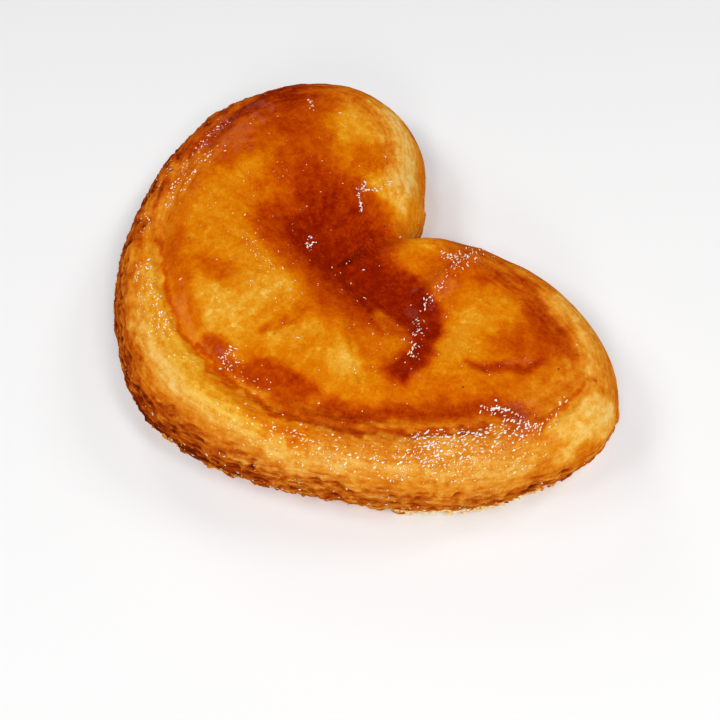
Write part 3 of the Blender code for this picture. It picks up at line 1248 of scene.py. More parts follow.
@dataclass
class Skin:
    """The whole baked skin: a square sheet for the top, the wall's rings, and the underside."""

    plan: HeartPlan
    relief: TopRelief
    section: Section
    baking: Baking
    blistering: Blistering
    grain: Grain
    side: int = 196
    wall_rings: int = 18
    shoulder_rings: int = 36
    under_rings: int = 8
    floor_gap: float = 0.02
    ledge_pitch: float = 2.6
    ledge_depth: float = 0.14
    ledge_bend: float = 1.8
    wall_inset: float = 0.36
    wrinkle_depth: float = 0.60
    lump_depth: float = 0.50
    lip_height: float = 1.1
    lip_thickness: float = 0.9
    least_lip: float = 0.35
    under_level: float = 0.72
    edge: Array = field(init=False)
    outward: Array = field(init=False)
    reach: Array = field(init=False)

    def __post_init__(self) -> None:
        """Lays out the stations round the outline, four times as many as the sheet has squares."""
        self.edge, self.outward = self.plan.stations(4 * self.side)
        self.reach = self.section.shoulder_reach(self.edge, self.plan.notch)

    def wall(self, climb: Array, station: Optional[Array] = None) -> tuple[Array, Array]:
        """Points and outward directions of the plain wall.

        Below 1 the climb follows a quarter ellipse from the foot out to the belly, and from 1
        to 2 another one from the belly in to the crown.

        Args:
            climb: how far up the section, from 0 at the foot to 2 at the crown.
            station: where along the outline, in stations; all of them if left out.

        Returns:
            The points and the directions, with x, y and z on the last axis.
        """
        count = len(self.edge)
        if station is None:
            station = np.arange(count, dtype=float)[None, :]
        ring = np.arange(count + 1)
        edge, outward = (
            np.stack([np.interp(station, ring, np.append(part[:, k], part[0, k])) for k in (0, 1)], axis=-1)
            for part in (self.edge, self.outward)
        )
        reach = np.interp(station, ring, np.append(self.reach, self.reach[0]))
        climb, reach = np.broadcast_arrays(climb, reach)
        low = 0.5 * math.pi * np.clip(climb, 0.0, 1.0)
        high = 0.5 * math.pi * np.clip(climb - 1.0, 0.0, 1.0)
        inset = self.section.undercut * (1.0 - np.sin(low)) + reach * (1.0 - np.cos(high))
        plan = edge - inset[..., None] * outward
        top = self.relief.height(plan[..., 0], plan[..., 1], self.grain)
        belly = self.section.belly
        level = belly * (1.0 - np.cos(low)) + (top - belly) * np.sin(high)
        flat = np.where(climb < 1.0, np.sin(low), np.cos(high))
        tilt = np.where(climb < 1.0, -np.cos(low), np.sin(high))
        points = np.concatenate([plan, level[..., None]], axis=-1)
        directions = np.concatenate([flat[..., None] * outward, tilt[..., None]], axis=-1)
        return points, directions / np.linalg.norm(directions, axis=-1)[..., None]

    def wrinkles(self, places: Array) -> Array:
        """The wall's wrinkles: bent noise drawn out along the wall, folded to sharp crests.

        Args:
            places: places on the wall.

        Returns:
            The wrinkles' height at each place: 0.7 on a crest, and below 0 between crests.
        """
        grain = self.grain
        bend = np.stack([1.2 * grain.read(places + 5.0 * k, 4.0) for k in (1, 2, 3)], axis=-1)
        return 0.7 - 2.2 * np.abs(grain.cloud((places + bend) * (0.55, 0.55, 1.0), 2.6, 2))

    def roughen(self, points: Array, directions: Array) -> Array:
        """Moves the wall's points in and out: ledges of the leaves, wrinkles, lumps and a ragged lip.

        A ledge grows as the square of a saw of the height, which slow noise bends. The lip is a
        bell of the height just above the floor, as strong as noise along the wall makes it. All
        but the lip fade where the wall turns into the top, and towards the floor.

        Args:
            points: the plain wall's points.
            directions: the wall's outward directions.

        Returns:
            The moved points.
        """
        grain = self.grain
        share = self.bare_share(points)
        height = points[..., 2]
        bend = self.ledge_bend * grain.cloud(points * (1.0, 1.0, 0.3), 14.0, 2)
        turns = (height + bend) / self.ledge_pitch + 0.5 * grain.read(points, 5.0)
        ledge = (turns - np.floor(turns)) ** 2
        lumps = grain.cloud(points + 70.0, 6.0, 2)
        move = self.ledge_depth * ledge - self.wall_inset + self.wrinkle_depth * self.wrinkles(points)
        move = share * (move + self.lump_depth * lumps)
        torn = smoothstep(-0.6, 0.8, grain.cloud(points * (1, 1, 0.2), 4.0, 4))
        ragged = self.least_lip + (1.0 - self.least_lip) * torn
        lip = bell((height - self.lip_height) / self.lip_thickness) * ragged
        flare = self.section.flare(self.plan.bearing(points[..., 0], points[..., 1]))
        move = move * smoothstep(0.0, 1.2, height) + flare * lip
        moved = points + move[..., None] * directions
        moved[..., 2] = np.maximum(moved[..., 2], self.floor_gap)
        return moved

    def square_sheet(self) -> tuple[Array, Array]:
        """Where each knot of the square sheet lies, as a share of the way out and a share round.

        The way out is the larger of the two coordinates' sizes, and the share round runs along
        the square through the knot.

        Returns:
            Both shares, as square arrays.
        """
        axis = np.linspace(-1.0, 1.0, self.side + 1)
        a, b = np.meshgrid(axis, axis, indexing="ij")
        out = np.maximum(np.abs(a), np.abs(b))
        safe = np.where(out > 0.0, out, 1.0)
        sides = [a >= np.abs(b), b >= np.abs(a), -a >= np.abs(b)]
        eighths = [b / safe / 8, 0.25 - a / safe / 8, 0.5 - b / safe / 8]
        around = np.select(sides, eighths, 0.75 + a / safe / 8)
        return out, np.mod(around, 1.0)

    def top_points(self, crown: Array) -> Array:
        """Points of the top: each lies on the line from the hub to the crown's ring.

        Args:
            crown: the ring's points in plan.

        Returns:
            The sheet's points, with x, y and z on the last axis.
        """
        out, around = self.square_sheet()
        count = len(crown)
        ring = np.arange(count + 1)
        closed = np.vstack([crown, crown[:1]])
        at = np.stack([np.interp(around * count, ring, closed[:, k]) for k in (0, 1)], axis=-1)
        plan = self.plan.hub + out[..., None] * (at - self.plan.hub)
        level = self.relief.height(plan[..., 0], plan[..., 1], self.grain)
        return np.concatenate([plan, level[..., None]], axis=-1)

    def bare_share(self, places: Array) -> Array:
        """How much of the wall's dark bake shows at each place.

        Args:
            places: places on the skin.

        Returns:
            The share, from 0 on the top to 1 on the wall.
        """
        x, y = places[..., 0], places[..., 1]
        _, down = self.ways_out(x, y)
        return self.baking.wall_share(places, self.plan.bearing(x, y), down, self.grain)

    def ways_out(self, x: Array, y: Array) -> tuple[Array, Array]:
        """How far out each place lies between the hub, the crown's ring and the outline.

        Args:
            x: the places' first coordinate.
            y: the places' second coordinate.

        Returns:
            The share of the way from the hub to the crown's ring, and the share of the way from
            that ring to the outline, which is below 0 on the top.
        """
        hub = np.asarray(self.plan.hub)
        ring = self.edge - self.reach[:, None] * self.outward - hub
        at = np.arctan2(y - hub[1], x - hub[0])
        away = np.hypot(x - hub[0], y - hub[1])
        radii = []
        for loop in (ring, self.edge - hub):
            bearings = np.arctan2(loop[:, 1], loop[:, 0])
            order = np.argsort(bearings)
            radii.append(np.interp(at, bearings[order], np.hypot(*loop.T)[order], period=2.0 * math.pi))
        return away / radii[0], (away - radii[0]) / (radii[1] - radii[0])

    def height(self, x: Array, y: Array) -> Array:
        """The height of the top and of the shoulder, which falls to the belly as an ellipse.

        Args:
            x: the places' first coordinate.
            y: the places' second coordinate.

        Returns:
            One height for each place.
        """
        _, down = self.ways_out(x, y)
        top = self.relief.height(x, y, self.grain)
        belly = self.section.belly
        return belly + (top - belly) * np.sqrt(1.0 - np.clip(down, 0.0, 0.98) ** 2)

    def rim_numbers(self) -> Array:
        """The sheet's knots round its rim, in the order of the stations.

        Returns:
            The knots' numbers.
        """
        side = self.side
        out, around = self.square_sheet()
        numbers = np.flatnonzero(out.ravel() > 1.0 - 0.5 / side)
        return numbers[np.argsort(np.round(around.ravel()[numbers] * 4 * side) % (4 * side), kind="stable")]

    def build(self, finish: bpy.types.Material) -> bpy.types.Object:
        """Makes the skin as one closed mesh.

        Args:
            finish: the crust's material.

        Returns:
            The piece.
        """
        count, side = len(self.edge), self.side
        climbs = np.concatenate(
            [
                np.linspace(0.0, 1.0, self.wall_rings, endpoint=False),
                1.0 + np.linspace(0.0, 1.0, self.shoulder_rings + 1),
            ]
        )[:, None]
        plain, directions = self.wall(climbs)
        wall = self.roughen(plain, directions)
        wall[-1] = plain[-1]
        sheet = self.top_points(plain[-1, :, :2])
        hub = np.array([*self.plan.hub, 0.0])
        shares = np.linspace(1.0, 0.0, self.under_rings, endpoint=False)[1:, None, None]
        under = hub + shares * (wall[0] - hub)
        under[..., 2] = self.floor_gap

        sheet_points = sheet.reshape(-1, 3)
        wall_points = wall[:-1].reshape(-1, 3)
        under_points = under.reshape(-1, 3)
        points = np.vstack([sheet_points, wall_points, under_points, hub + (0, 0, self.floor_gap)])

        first_wall = len(sheet_points)
        first_under = first_wall + len(wall_points)
        rows = [
            *(first_under + count * k + np.arange(count) for k in range(self.under_rings - 2, -1, -1)),
            *(first_wall + count * k + np.arange(count) for k in range(len(wall) - 1)),
            self.rim_numbers(),
        ]
        rings = np.stack(rows)
        after = np.roll(rings, -1, axis=1)
        bands = np.stack([rings[:-1], after[:-1], after[1:], rings[1:]], axis=-1).reshape(-1, 4)
        knots = np.arange((side + 1) ** 2).reshape(side + 1, side + 1)
        squares = np.stack([knots[:-1, :-1], knots[1:, :-1], knots[1:, 1:], knots[:-1, 1:]], axis=-1)
        quads = np.vstack([squares.reshape(-1, 4), bands])
        centre = np.full(count, len(points) - 1)
        fan = np.stack([centre, after[0], rings[0]], axis=-1)
        faces = np.vstack(
            [
                np.stack([quads[:, 0], quads[:, 1], quads[:, 2]], axis=-1),
                np.stack([quads[:, 0], quads[:, 2], quads[:, 3]], axis=-1),
                fan,
            ]
        )
        steps_up = np.linalg.norm(np.diff(plain, axis=0), axis=-1).mean(axis=1)
        climb = np.concatenate([[0.0], np.cumsum(steps_up)])
        out, _ = self.square_sheet()
        # millimetres across the leaves: in from the crown's ring, up the wall, and in below
        ply = np.concatenate(
            [
                (climb[-1] + (1.0 - out) * 45.0).ravel(),
                np.repeat(climb[:-1], count),
                np.repeat(-10.0 * (1.0 - shares[:, 0, 0]), count),
                [-12.0],
            ]
        )
        values = self.colouring(points)
        values["ply"] = ply * MM
        return make_piece("baked_skin", points, faces, finish, values)

    def colouring(self, points: Array) -> dict[str, Array]:
        """How yolk-yellow, brown, glazed, blistered and flaky each point is.

        The crust is dry on the wall and most of the shoulder, and glazed elsewhere where it is
        brown. It is flaky on the wall, and combed by the leaves' edges outside the crown's ring,
        but not beside the notch and less so on the knob.

        Args:
            points: places on the skin.

        Returns:
            A value for each place, by attribute name.
        """
        x, y, z = points.T
        baking, grain = self.baking, self.grain
        share = self.bare_share(points)
        out, down = self.ways_out(x, y)
        top = baking.top(x, y, grain) + baking.streaks(x, y, out, grain)
        wall = baking.wall(points, self.plan.bearing(x, y), self.wrinkles(points), grain)
        browning = top + share * (wall - top)
        under = smoothstep(0.8, 0.1, z)
        below = self.under_level + 0.12 * grain.cloud(points, 8.0, 3)
        browning = browning + under * (below - browning)
        patchy = grain.cloud(points + 11.0, 6.0, 2)
        dry = 0.90 * np.maximum(share, 0.8 * smoothstep(0.2, 0.75, down))
        glaze = (0.30 + 0.70 * smoothstep(0.05, 0.45, browning)) * (1.0 - dry) + 0.2 * patchy
        glaze = np.clip(glaze, 0.0, 1.0) * (1.0 - 0.9 * under)
        blister = self.blistering.spread(x, y, grain) * (1.0 - share)
        from_notch = np.hypot(x - self.plan.notch[0], y - self.plan.notch[1])
        from_knob = np.hypot(x - self.plan.knob[0], y - self.plan.knob[1])
        plain = smoothstep(6.0, 20.0, from_notch) * (1.0 - 0.75 * bell(from_knob / 11.0))
        combed = 0.42 * smoothstep(0.82, 1.05, out) * plain
        flaky = np.maximum(share, combed) * (1.0 - 0.5 * under)
        return {
            "yolk": baking.yolkiness(x, y, out, grain) * (1.0 - share),
            "browning": np.clip(browning, -0.1, 1.15),
            "glaze": np.maximum(glaze, 0.85 * blister),
            "blister": blister,
            "flaky": flaky,
        }


@dataclass(frozen=True)
class Leaves:
    """Broken leaves of the sheet, which lie along the wall with their lower lips lifted."""

    count: int = 170
    steps: int = 8
    shortest: float = 3.0
    longest: float = 13.0
    lowest: float = 0.10
    highest: float = 1.22
    narrowest: float = 0.020
    widest: float = 0.055
    lift: float = 0.40
    lifts: Point = (0.4, 1.5)
    wander: float = 0.04
    frayed: float = 0.45
    tints: Point = (-0.20, 0.14)
    seed: int = 3

    def build(self, skin: Skin, finish: bpy.types.Material) -> bpy.types.Object:
        """Makes the leaves as closed strips.

        A leaf's section is a flat loop of four points, given by how far up the wall and how
        proud of it each lies: its upper edge is sunk in the wall, and its lip stands off by the
        lift. The loop is carried along the wall, and narrows almost to nothing at both ends as
        the fourth root of one less the square of the way along.

        Args:
            skin: the skin that they lie on.
            finish: the crust's material.

        Returns:
            The piece.
        """
        rng = np.random.default_rng(self.seed)
        stations = len(skin.edge)
        spacing = np.linalg.norm(np.diff(skin.edge, axis=0), axis=1).mean()
        shape = (self.count, 1, 1)
        middle = rng.uniform(0.0, stations, shape)
        half_length = 0.5 * rng.uniform(self.shortest, self.longest, shape) / spacing
        level = rng.uniform(self.lowest, self.highest, shape)
        half_width = 0.5 * rng.uniform(self.narrowest, self.widest, shape)
        lift = self.lift * rng.uniform(*self.lifts, shape)
        along = np.linspace(-1.0, 1.0, self.steps)[None, :, None]
        taper = np.clip(1.0 - along**2, 1e-4, 1.0) ** 0.25
        across = np.array([1.0, -0.7, -1.0, 0.3])
        proud = np.array([-0.15, 1.0, 0.7, -0.5])
        station = np.broadcast_to(middle + half_length * along, (self.count, self.steps, 1))
        own = middle + 0 * station
        wander = skin.grain.read(np.concatenate([station, own, level + 0 * station], -1), 9.0)
        fray = 1.0 + self.frayed * skin.grain.read(np.concatenate([station, station, own], -1), 2.3)
        width = half_width * taper * fray[..., None]
        climb = np.clip(level + self.wander * wander[..., None], 0.08, 1.5) + width * across
        plain, directions = skin.wall(climb, np.mod(station + 0 * climb, stations))
        off = lift * taper * fray[..., None] * proud
        points = skin.roughen(plain, directions) + off[..., None] * directions
        points[..., 2] = np.maximum(points[..., 2], 0.06 - 0.03 * proud)

        section = len(across)
        numbers = np.arange(points[..., 0].size).reshape(self.count, self.steps, section)
        after = np.roll(numbers, -1, axis=2)
        sides = np.stack([numbers[:, :-1], numbers[:, 1:], after[:, 1:], after[:, :-1]], axis=-1)
        first, last = numbers[:, 0], numbers[:, -1]
        faces = np.vstack([sides.reshape(-1, 4), first, last[:, ::-1]])[:, ::-1]
        flat = points.reshape(-1, 3)
        values = skin.colouring(flat)
        tint = rng.uniform(*self.tints, shape) - 0.10 * (across < -0.6) + 0.0 * points[..., 0]
        values["browning"] = values["browning"] + tint.ravel()
        values["flaky"] = np.maximum(values["flaky"], 0.5)
        values["ply"] = flat[:, 2] * 1.3 * MM
        return make_piece("wall_leaves", flat, faces, finish, values)


@dataclass(frozen=True)
class Scatter:
    """Many small rounded things of one kind, laid on the pastry."""

    rings: int = 4
    sectors: int = 7

    def lumps(
        self, centres: Array, sizes: Array, frames: Array, rough: float, grain: Grain
    ) -> tuple[Array, Array]:
        """Closed lumps: spheres squashed to three sizes, dented by noise, and turned.

        Args:
            centres: the middle of each lump.
            sizes: its three half-sizes.
            frames: its three axes, as the rows of a matrix.
            rough: how deep the dents are, as a share of the size.
            grain: the noise.

        Returns:
            The points of all lumps, and their faces as rows of three, poles included.
        """
        polar = np.linspace(0.0, math.pi, self.rings + 2)[1:-1, None]
        turn = np.arange(self.sectors)[None, :] * 2.0 * math.pi / self.sectors
        ways = [np.sin(polar) * np.cos(turn), np.sin(polar) * np.sin(turn), np.cos(polar) + 0 * turn]
        poles = [(0.0, 0.0, 1.0), (0.0, 0.0, -1.0)]
        unit = np.vstack([np.stack(ways, axis=-1).reshape(-1, 3), poles])
        dents = 1.0 + rough * grain.read(unit[None] * 2.0 + centres[:, None], 1.3)
        local = unit[None] * sizes[:, None] * dents[..., None]
        points = centres[:, None] + np.einsum("nki,nij->nkj", local, frames)

        grid = np.arange(self.rings * self.sectors).reshape(self.rings, self.sectors)
        after = np.roll(grid, -1, axis=1)
        north, south = grid.size, grid.size + 1
        sides = np.stack([grid[:-1], grid[1:], after[1:], after[:-1]], axis=-1).reshape(-1, 4)
        triangles = [
            np.stack([sides[:, 0], sides[:, 1], sides[:, 2]], axis=-1),
            np.stack([sides[:, 0], sides[:, 2], sides[:, 3]], axis=-1),
            np.stack([np.full(self.sectors, north), grid[0], after[0]], axis=-1),
            np.stack([np.full(self.sectors, south), after[-1], grid[-1]], axis=-1),
        ]
        one = np.vstack(triangles)
        faces = one[None] + (len(unit) * np.arange(len(centres)))[:, None, None]
        return points.reshape(-1, 3), faces.reshape(-1, 3)


def frames_on(directions: Array, rng: np.random.Generator, across: Optional[Array] = None) -> Array:
    """Axes for each direction: two across it, then the direction itself.

    Args:
        directions: the directions.
        rng: the source of chance for the turn round each.
        across: what the first axis tends to stand at right angles to; it is longer where the
            tendency is stronger.

    Returns:
        The three axes of each, as the rows of a matrix.
    """
    loose = rng.normal(size=directions.shape) + (0.0 if across is None else across)
    first = np.cross(directions, loose)
    first /= np.linalg.norm(first, axis=1)[:, None]
    return np.stack([first, np.cross(directions, first), directions], axis=1)


def above_floor(centres: Array, sizes: Array) -> Array:
    """Lifts lumps that would reach the floor, each to 1.05 of its largest half-size.

    Args:
        centres: the middle of each lump.
        sizes: its three half-sizes.

    Returns:
        The lifted middles.
    """
    lifted = centres.copy()
    lifted[:, 2] = np.maximum(centres[:, 2], 1.05 * sizes.max(axis=1))
    return lifted


@dataclass(frozen=True)
class Crumbs:
    """Crumbs and flakes stuck along the foot: some scattered round it, and more in clumps."""

    name: str = "foot_crumbs"
    count: int = 150
    smallest: float = 0.35
    largest: float = 1.2
    shades: Point = (0.15, 0.95)
    climbs: Point = (0.10, 0.85)
    clumps: tuple[Point, ...] = ((-4, -66), (29, -57), (46, -43), (84, 3), (86, 12), (-40, -52), (12, -62))
    clump_size: int = 12
    stray: float = 5.0
    seed: int = 5
    rough: float = 0.5
    proud: float = 0.3
    tilt: float = 0.4
    dullest: float = 0.0
    glossiest: float = 0.6
    floor_gap: float = 0.03

    def build(self, skin: Skin, finish: bpy.types.Material) -> bpy.types.Object:
        """Makes the crumbs: rough lumps, flattened against the wall, and none below the floor.

        Args:
            skin: the skin at whose foot they lie.
            finish: their material.

        Returns:
            The piece.
        """
        rng = np.random.default_rng(self.seed)
        stations = len(skin.edge)
        nearest = [np.argmin(np.hypot(*(skin.edge - clump).T)) for clump in self.clumps]
        around = np.concatenate(
            [
                rng.uniform(0.0, stations, self.count),
                *(rng.normal(at, self.stray, self.clump_size) for at in nearest),
            ]
        )
        climb = rng.uniform(*self.climbs, len(around))
        plain, directions = skin.wall(climb, np.mod(around, stations))
        base = skin.roughen(plain, directions)
        size = rng.uniform(self.smallest, self.largest, len(around)) ** 1.3
        sizes = size[:, None] * rng.uniform((0.7, 0.5, 0.25), (1.3, 1.0, 0.6), (len(around), 3))
        base = above_floor(base + self.proud * sizes[:, 2:] * directions, sizes)
        up = directions + rng.normal(0.0, self.tilt, directions.shape)
        up /= np.linalg.norm(up, axis=1)[:, None]
        points, faces = Scatter().lumps(base, sizes, frames_on(up, rng), self.rough, skin.grain)
        points[:, 2] = np.maximum(points[:, 2], self.floor_gap)
        values = skin.colouring(points)
        each = len(points) // len(base)
        values["browning"] = np.repeat(rng.uniform(*self.shades, len(base)), each)
        values["glaze"] = np.repeat(rng.uniform(self.dullest, self.glossiest, len(base)), each)
        values["ply"] = points[:, 2] * MM
        return make_piece(self.name, points, faces, finish, values)


@dataclass(frozen=True)
class Sprinkle:
    """A number of small things that lie near a trail, and how far they stray from it."""

    count: int
    stray: float
    trail: Trail


def sprinkle(count: int, stray: float, *knots: Point) -> Sprinkle:
    """A sprinkle along the trail through the given knots."""
    return Sprinkle(count, stray, Trail(knots))


@dataclass(frozen=True)
class Bubbles:
    """Small rounded things on the top and the wall: bubbles of set glaze, and beads painted pale as painted
    glints.
    """

    name: str = "glaze_bubbles"
    sprinkles: tuple[Sprinkle, ...] = (
        sprinkle(90, 4.0, (62, -18), (69, -7), (74, 4), (74, 14)),
        sprinkle(30, 4.0, (30, -42), (46, -32), (60, -18)),
        sprinkle(8, 1.6, (25, 44), (24, 33), (26, 20), (33, 9), (41, -1)),
        sprinkle(8, 1.0, (-19, 29), (-15, 24), (-10, 21)),
        sprinkle(8, 0.9, (-12, 3), (-10, 1)),
        sprinkle(12, 0.8, (-72, 10), (-66, -2), (-58, -16), (-50, -26)),
        sprinkle(12, 1.2, (-34, -40), (-20, -44), (-4, -46)),
        sprinkle(8, 1.6, (8, -38), (14, -39)),
        sprinkle(10, 2.0, (-22, -12), (-10, -14), (0, -12)),
        sprinkle(8, 1.2, (60, 26), (58, 18), (53, 13)),
        sprinkle(30, 18.0, (-60, 10), (0, -10), (50, 10)),
    )
    on_wall: int = 240
    radius: float = 0.30
    height: float = 0.045
    slimness: Point = (1.0, 1.8)
    tilt: float = 0.12
    seed: int = 11
    comb: float = 3.0
    spans: Point = (0.6, 1.6)
    wall_climbs: Point = (0.15, 1.3)
    proud: float = 0.03
    farthest: float = 0.8

    def build(self, skin: Skin, finish: bpy.types.Material) -> bpy.types.Object:
        """Makes them: flat lumps half sunk in the crust, mostly drawn out along the coil.

        On the top each lies square to the slope, which is read a short step to each side. None
        lies on the top farther out than the given share of the way from the crown's ring.

        Args:
            skin: the skin that they lie on.
            finish: their material.

        Returns:
            The piece.
        """
        rng = np.random.default_rng(self.seed)
        spots = np.vstack([one.trail.spread(rng, one.count, one.stray) for one in self.sprinkles])
        spots = spots[skin.ways_out(*spots.T)[1] < self.farthest]
        x, y = spots.T
        step = 0.25
        slope_x = (skin.height(x + step, y) - skin.height(x - step, y)) / (2 * step)
        slope_y = (skin.height(x, y + step) - skin.height(x, y - step)) / (2 * step)
        up = np.stack([-slope_x, -slope_y, np.ones_like(x)], axis=1)
        on_top = np.stack([x, y, skin.height(x, y)], axis=1)
        climb = rng.uniform(*self.wall_climbs, self.on_wall)
        plain, outward = skin.wall(climb, rng.uniform(0.0, len(skin.edge), self.on_wall))
        centres = np.vstack([on_top, skin.roughen(plain, outward)])
        up = np.vstack([up / np.linalg.norm(up, axis=1)[:, None], outward])
        up += rng.normal(0.0, self.tilt, up.shape)
        up /= np.linalg.norm(up, axis=1)[:, None]
        count = len(centres)
        size = self.radius * rng.uniform(*self.spans, count)
        slim = rng.uniform(*self.slimness, count)
        sizes = np.stack([size * np.sqrt(slim), size / np.sqrt(slim), np.full(count, self.height)], axis=1)
        centres = above_floor(centres + self.proud * up, sizes)
        from_hub = centres - (*skin.plan.hub, 0.0)
        from_hub *= self.comb / np.linalg.norm(from_hub, axis=1)[:, None]
        frames = frames_on(up, rng, from_hub)
        points, faces = Scatter(rings=3, sectors=6).lumps(centres, sizes, frames, 0.0, skin.grain)
        values = skin.colouring(points)
        values["glaze"] = np.ones(len(points))
        values["blister"] = np.zeros(len(points))
        values["ply"] = points[:, 2] * MM
        return make_piece(self.name, points, faces, finish, values)


# the clumps of golden flakes on the foot under the smaller roll: pale flakes, painted as bright as the glints
# along the foot
GOLDEN_CLUMPS = ((68, -22), (72, -17), (75, -12), (78, -7), (81, -1), (83, 4), (85, 9))
# painted glints, as white beads: in chains along the coil and the rims, and a little everywhere
WHITE_GLINT_GRAINS = (
    sprinkle(56, 1.1, (62, 6), (66, 9.5), (71, 11.5), (76, 13.5)),
    sprinkle(50, 1.6, (67, 2), (70, 6), (73, 9)),
    sprinkle(60, 1.2, (58, -13), (61, -9), (64, -5), (68, 1)),
    sprinkle(60, 2.2, (63, -14), (66, -9), (71, -2)),
    sprinkle(16, 1.8, (40, -38), (52, -29), (63, -19)),
    sprinkle(8, 1.3, (26, -43), (38, -37), (48, -30)),
    sprinkle(60, 0.8, (24, 40), (25, 30), (28, 16), (35, 6), (40, 0)),
    sprinkle(26, 1.0, (22, 34), (19, 29), (23, 33)),
    sprinkle(30, 0.30, (-19, 29), (-15, 24), (-10, 21)),
    sprinkle(24, 0.30, (-14, 36), (-14, 30), (-17, 25)),
    sprinkle(16, 0.8, (-12, 3), (-10, 1)),
    sprinkle(34, 0.5, (-71, 6), (-66, -6), (-58, -18), (-50, -26)),
    sprinkle(24, 0.5, (-62, 0), (-58, -10), (-52, -19)),
    sprinkle(14, 0.5, (-62, 37), (-56, 35)),
    sprinkle(34, 0.6, (-34, -41), (-20, -45), (-6, -47)),
    sprinkle(20, 1.2, (8, -38), (12, -40)),
    sprinkle(40, 0.4, (23, 48), (36, 51), (50, 51.5), (62, 49), (72, 44)),
    sprinkle(10, 0.5, (73, 26), (75, 16)),
    sprinkle(26, 20.0, (-50, 10), (0, -10), (50, 10)),
)
# smaller painted glints, as white beads, in the same places and a little everywhere
WHITE_GLINT_DUST = (
    sprinkle(230, 2.6, (58, -18), (64, -12), (69, -6), (74, 3)),
    sprinkle(40, 2.4, (36, -41), (48, -32), (60, -20)),
    sprinkle(60, 1.6, (24, 42), (24, 33), (26, 20), (33, 9), (41, -1)),
    sprinkle(40, 1.5, (-34, -42), (-20, -46), (-4, -48)),
    sprinkle(50, 1.0, (-72, 10), (-66, -4), (-58, -16), (-50, -26)),
    sprinkle(40, 1.6, (-22, -12), (-10, -14), (0, -12)),
    sprinkle(30, 2.0, (8, -38), (14, -39), (24, -36)),
    sprinkle(110, 16.0, (-50, 10), (0, -10), (50, 10)),
)
# warm painted glints, as golden beads, on the pale crust outside the coil's groove
GOLDEN_GLINT_GRAINS = (
    sprinkle(110, 2.4, (22, -48), (36, -42), (48, -33), (60, -21)),
    sprinkle(70, 1.6, (-32, -45), (-14, -49.5), (6, -50)),
    sprinkle(80, 2.2, (64, -17), (72, -8), (77, 3), (79, 10)),
    sprinkle(26, 1.2, (-66, -14), (-56, -28), (-44, -38)),
)
# burnt sugar: four specks in known places, and a few anywhere
SPECKS = (
    sprinkle(1, 0.1, (-41, 33)),
    sprinkle(1, 0.1, (66, 29)),
    sprinkle(1, 0.1, (12, -25)),
    sprinkle(1, 0.1, (-33, -27)),
    sprinkle(8, 22.0, (-50, 10), (0, -10), (50, 10)),
)


# -------------------------------------------------------------------------------------- studio


@dataclass(frozen=True)
class Lamp:
    """A small soft lamp, aimed at the pastry; its share is of the light that falls on the floor."""

    name: str
    bearing: float
    elevation: float
    share: float
    distance: float = 1.0
    size: float = 0.24
    colour: Colour = (1.0, 1.0, 1.0)

    def power(self) -> float:
        """The watts for the share: share times pi squared times distance squared over the sine."""
        return self.share * (math.pi * self.distance) ** 2 / math.sin(math.radians(self.elevation))

    def hang(self, target: Vector) -> None:
        """Puts the lamp into the scene, square and turned to the pastry.

        Args:
            target: the point that it is aimed at, in metres.
        """
        light = bpy.data.lights.new(self.name, "AREA")
        light.size = self.size
        light.energy = self.power()
        light.color = self.colour
        lamp = bpy.data.objects.new(self.name, light)
        back = direction(self.bearing, self.elevation)
        lamp.location = target + back * self.distance
        lamp.rotation_euler = back.to_track_quat("Z", "Y").to_euler()
        bpy.context.scene.collection.objects.link(lamp)


def direction(bearing: float, elevation: float) -> Vector:
    """The way from the pastry towards something: bearing 0 is -Y, and 90 is +X."""
    a, e = math.radians(bearing), math.radians(elevation)
    return Vector((math.sin(a) * math.cos(e), -math.cos(a) * math.cos(e), math.sin(e)))


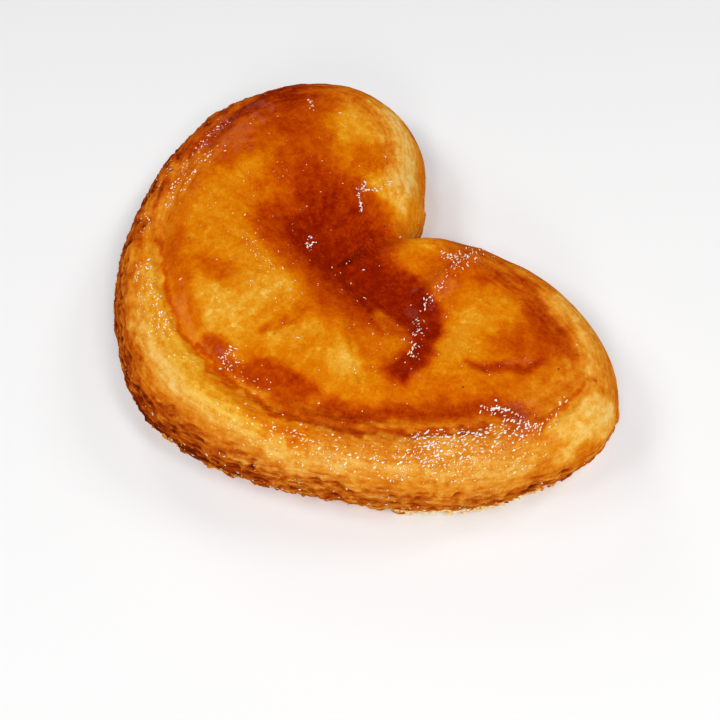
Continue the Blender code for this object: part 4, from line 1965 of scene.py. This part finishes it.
@dataclass(frozen=True)
class Studio:
    """The floor, the lamps, the sky and the camera."""

    target: tuple[float, float, float] = (0.0268, -0.0071, 0.012)
    bearing: float = 54.4
    elevation: float = 59.9
    roll: float = -1.18
    distance: float = 0.182
    lens: float = 31.5
    floor_size: float = 6.0
    sky: float = 0.04
    lamps: tuple[Lamp, ...] = (
        Lamp("near", 78.0, 42.0, 0.18),
        Lamp("front", 20.0, 50.0, 0.14),
        Lamp("left", 330.0, 45.0, 0.12),
        Lamp("right", 125.0, 55.0, 0.14),
        Lamp("high", 160.0, 70.0, 0.10),
        Lamp("far", 257.0, 28.0, 0.05),
        Lamp("low", 45.0, 25.0, 0.08),
        Lamp("side", 300.0, 45.0, 0.08),
        Lamp("back", 175.0, 38.0, 0.11),
    )

    def floor(self) -> bpy.types.Object:
        """A plain level square, which isn't part of the object.

        Returns:
            The floor.
        """
        half = 0.5 * self.floor_size / MM
        corners = np.array([(-half, -half, 0), (half, -half, 0), (half, half, 0), (-half, half, 0)], float)
        return make_piece("floor", corners, np.array([[0, 1, 2, 3]]), PaleFloor().material())

    def camera(self) -> None:
        """The camera, which looks down at the pastry from beside its smaller roll."""
        data = bpy.data.cameras.new("camera")
        data.lens = self.lens
        data.clip_start = 0.01
        camera = bpy.data.objects.new("camera", data)
        back = direction(self.bearing, self.elevation)
        level = back.to_track_quat("Z", "Y").to_matrix()
        turned = level @ Matrix.Rotation(math.radians(self.roll), 3, "Z")
        camera.matrix_world = Matrix.Translation(Vector(self.target) + back * self.distance) @ turned.to_4x4()
        bpy.context.scene.collection.objects.link(camera)
        bpy.context.scene.camera = camera

    def build(self) -> None:
        """Sets the scene round the pastry."""
        self.floor()
        for lamp in self.lamps:
            lamp.hang(Vector(self.target))
        world = bpy.data.worlds.new("sky")
        world.use_nodes = True
        background = world.node_tree.nodes["Background"]
        background.inputs["Color"].default_value = (1.0, 1.0, 1.0, 1.0)
        background.inputs["Strength"].default_value = self.sky
        bpy.context.scene.world = world
        bpy.context.scene.view_settings.view_transform = "Standard"
        self.camera()


def main() -> None:
    """Dresses the pastry and sets the studio."""
    logging.basicConfig(level=logging.INFO, format="%(message)s")
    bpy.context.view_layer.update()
    grain = Grain(7)
    blistering = Blistering()
    skin = Skin(HeartPlan(), TopRelief(blistering), Section(), Baking(), blistering, grain)
    crust = GlazedCrust().material()
    body = skin.build(crust)
    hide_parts(NODE)
    sugar = GlazedCrust("set_sugar", sheet=1.0, coat_roughness=0.04, coat_ior=2.4).material()
    # pale materials for painted glints: white beads, and golden ones
    white = GlintPaintedGrain().material()
    golden = GlintPaintedGrain("golden_glint_paint", white_glint=(0.98, 0.84, 0.52), warm_glint=(0.92, 0.58, 0.17)).material()
    burnt = BurntSugar().material()
    # golden beads as warm painted glints on the pale crust
    golden_glint_dust = Bubbles("golden_glint_grains", GOLDEN_GLINT_GRAINS, 200, 0.22, 0.08, (1.0, 3.5), 0.3, seed=15)
    # pale flakes along the foot, partly a painted glint
    flakes = Crumbs(
        "golden_flakes",
        count=0,
        smallest=0.4,
        largest=1.1,
        shades=(-0.10, 0.25),
        climbs=(0.30, 0.80),
        clumps=GOLDEN_CLUMPS,
        clump_size=26,
        stray=3.0,
        seed=6,
    )
    pieces = [
        body,
        Leaves().build(skin, crust),
        Crumbs().build(skin, crust),
        flakes.build(skin, golden),
        Bubbles().build(skin, sugar),
        # white beads as painted glints on the top and the wall
        Bubbles("painted_glint_grains", WHITE_GLINT_GRAINS, 230, 0.26, 0.11, (1.0, 4.0), 0.3, seed=12).build(skin, white),
        Bubbles("painted_glint_dust", WHITE_GLINT_DUST, 40, 0.14, 0.07, (1.0, 3.0), 0.3, seed=14).build(skin, white),
        golden_glint_dust.build(skin, golden),
        Bubbles("burnt_specks", SPECKS, 0, 0.22, 0.06, (1.0, 1.8), 0.3, seed=13).build(skin, burnt),
    ]
    for piece in pieces:
        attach(piece, BODY)
        LOG.info("%s rides on %s", piece.name, BODY)
    Studio().build()


if __name__ == "__main__":
    main()
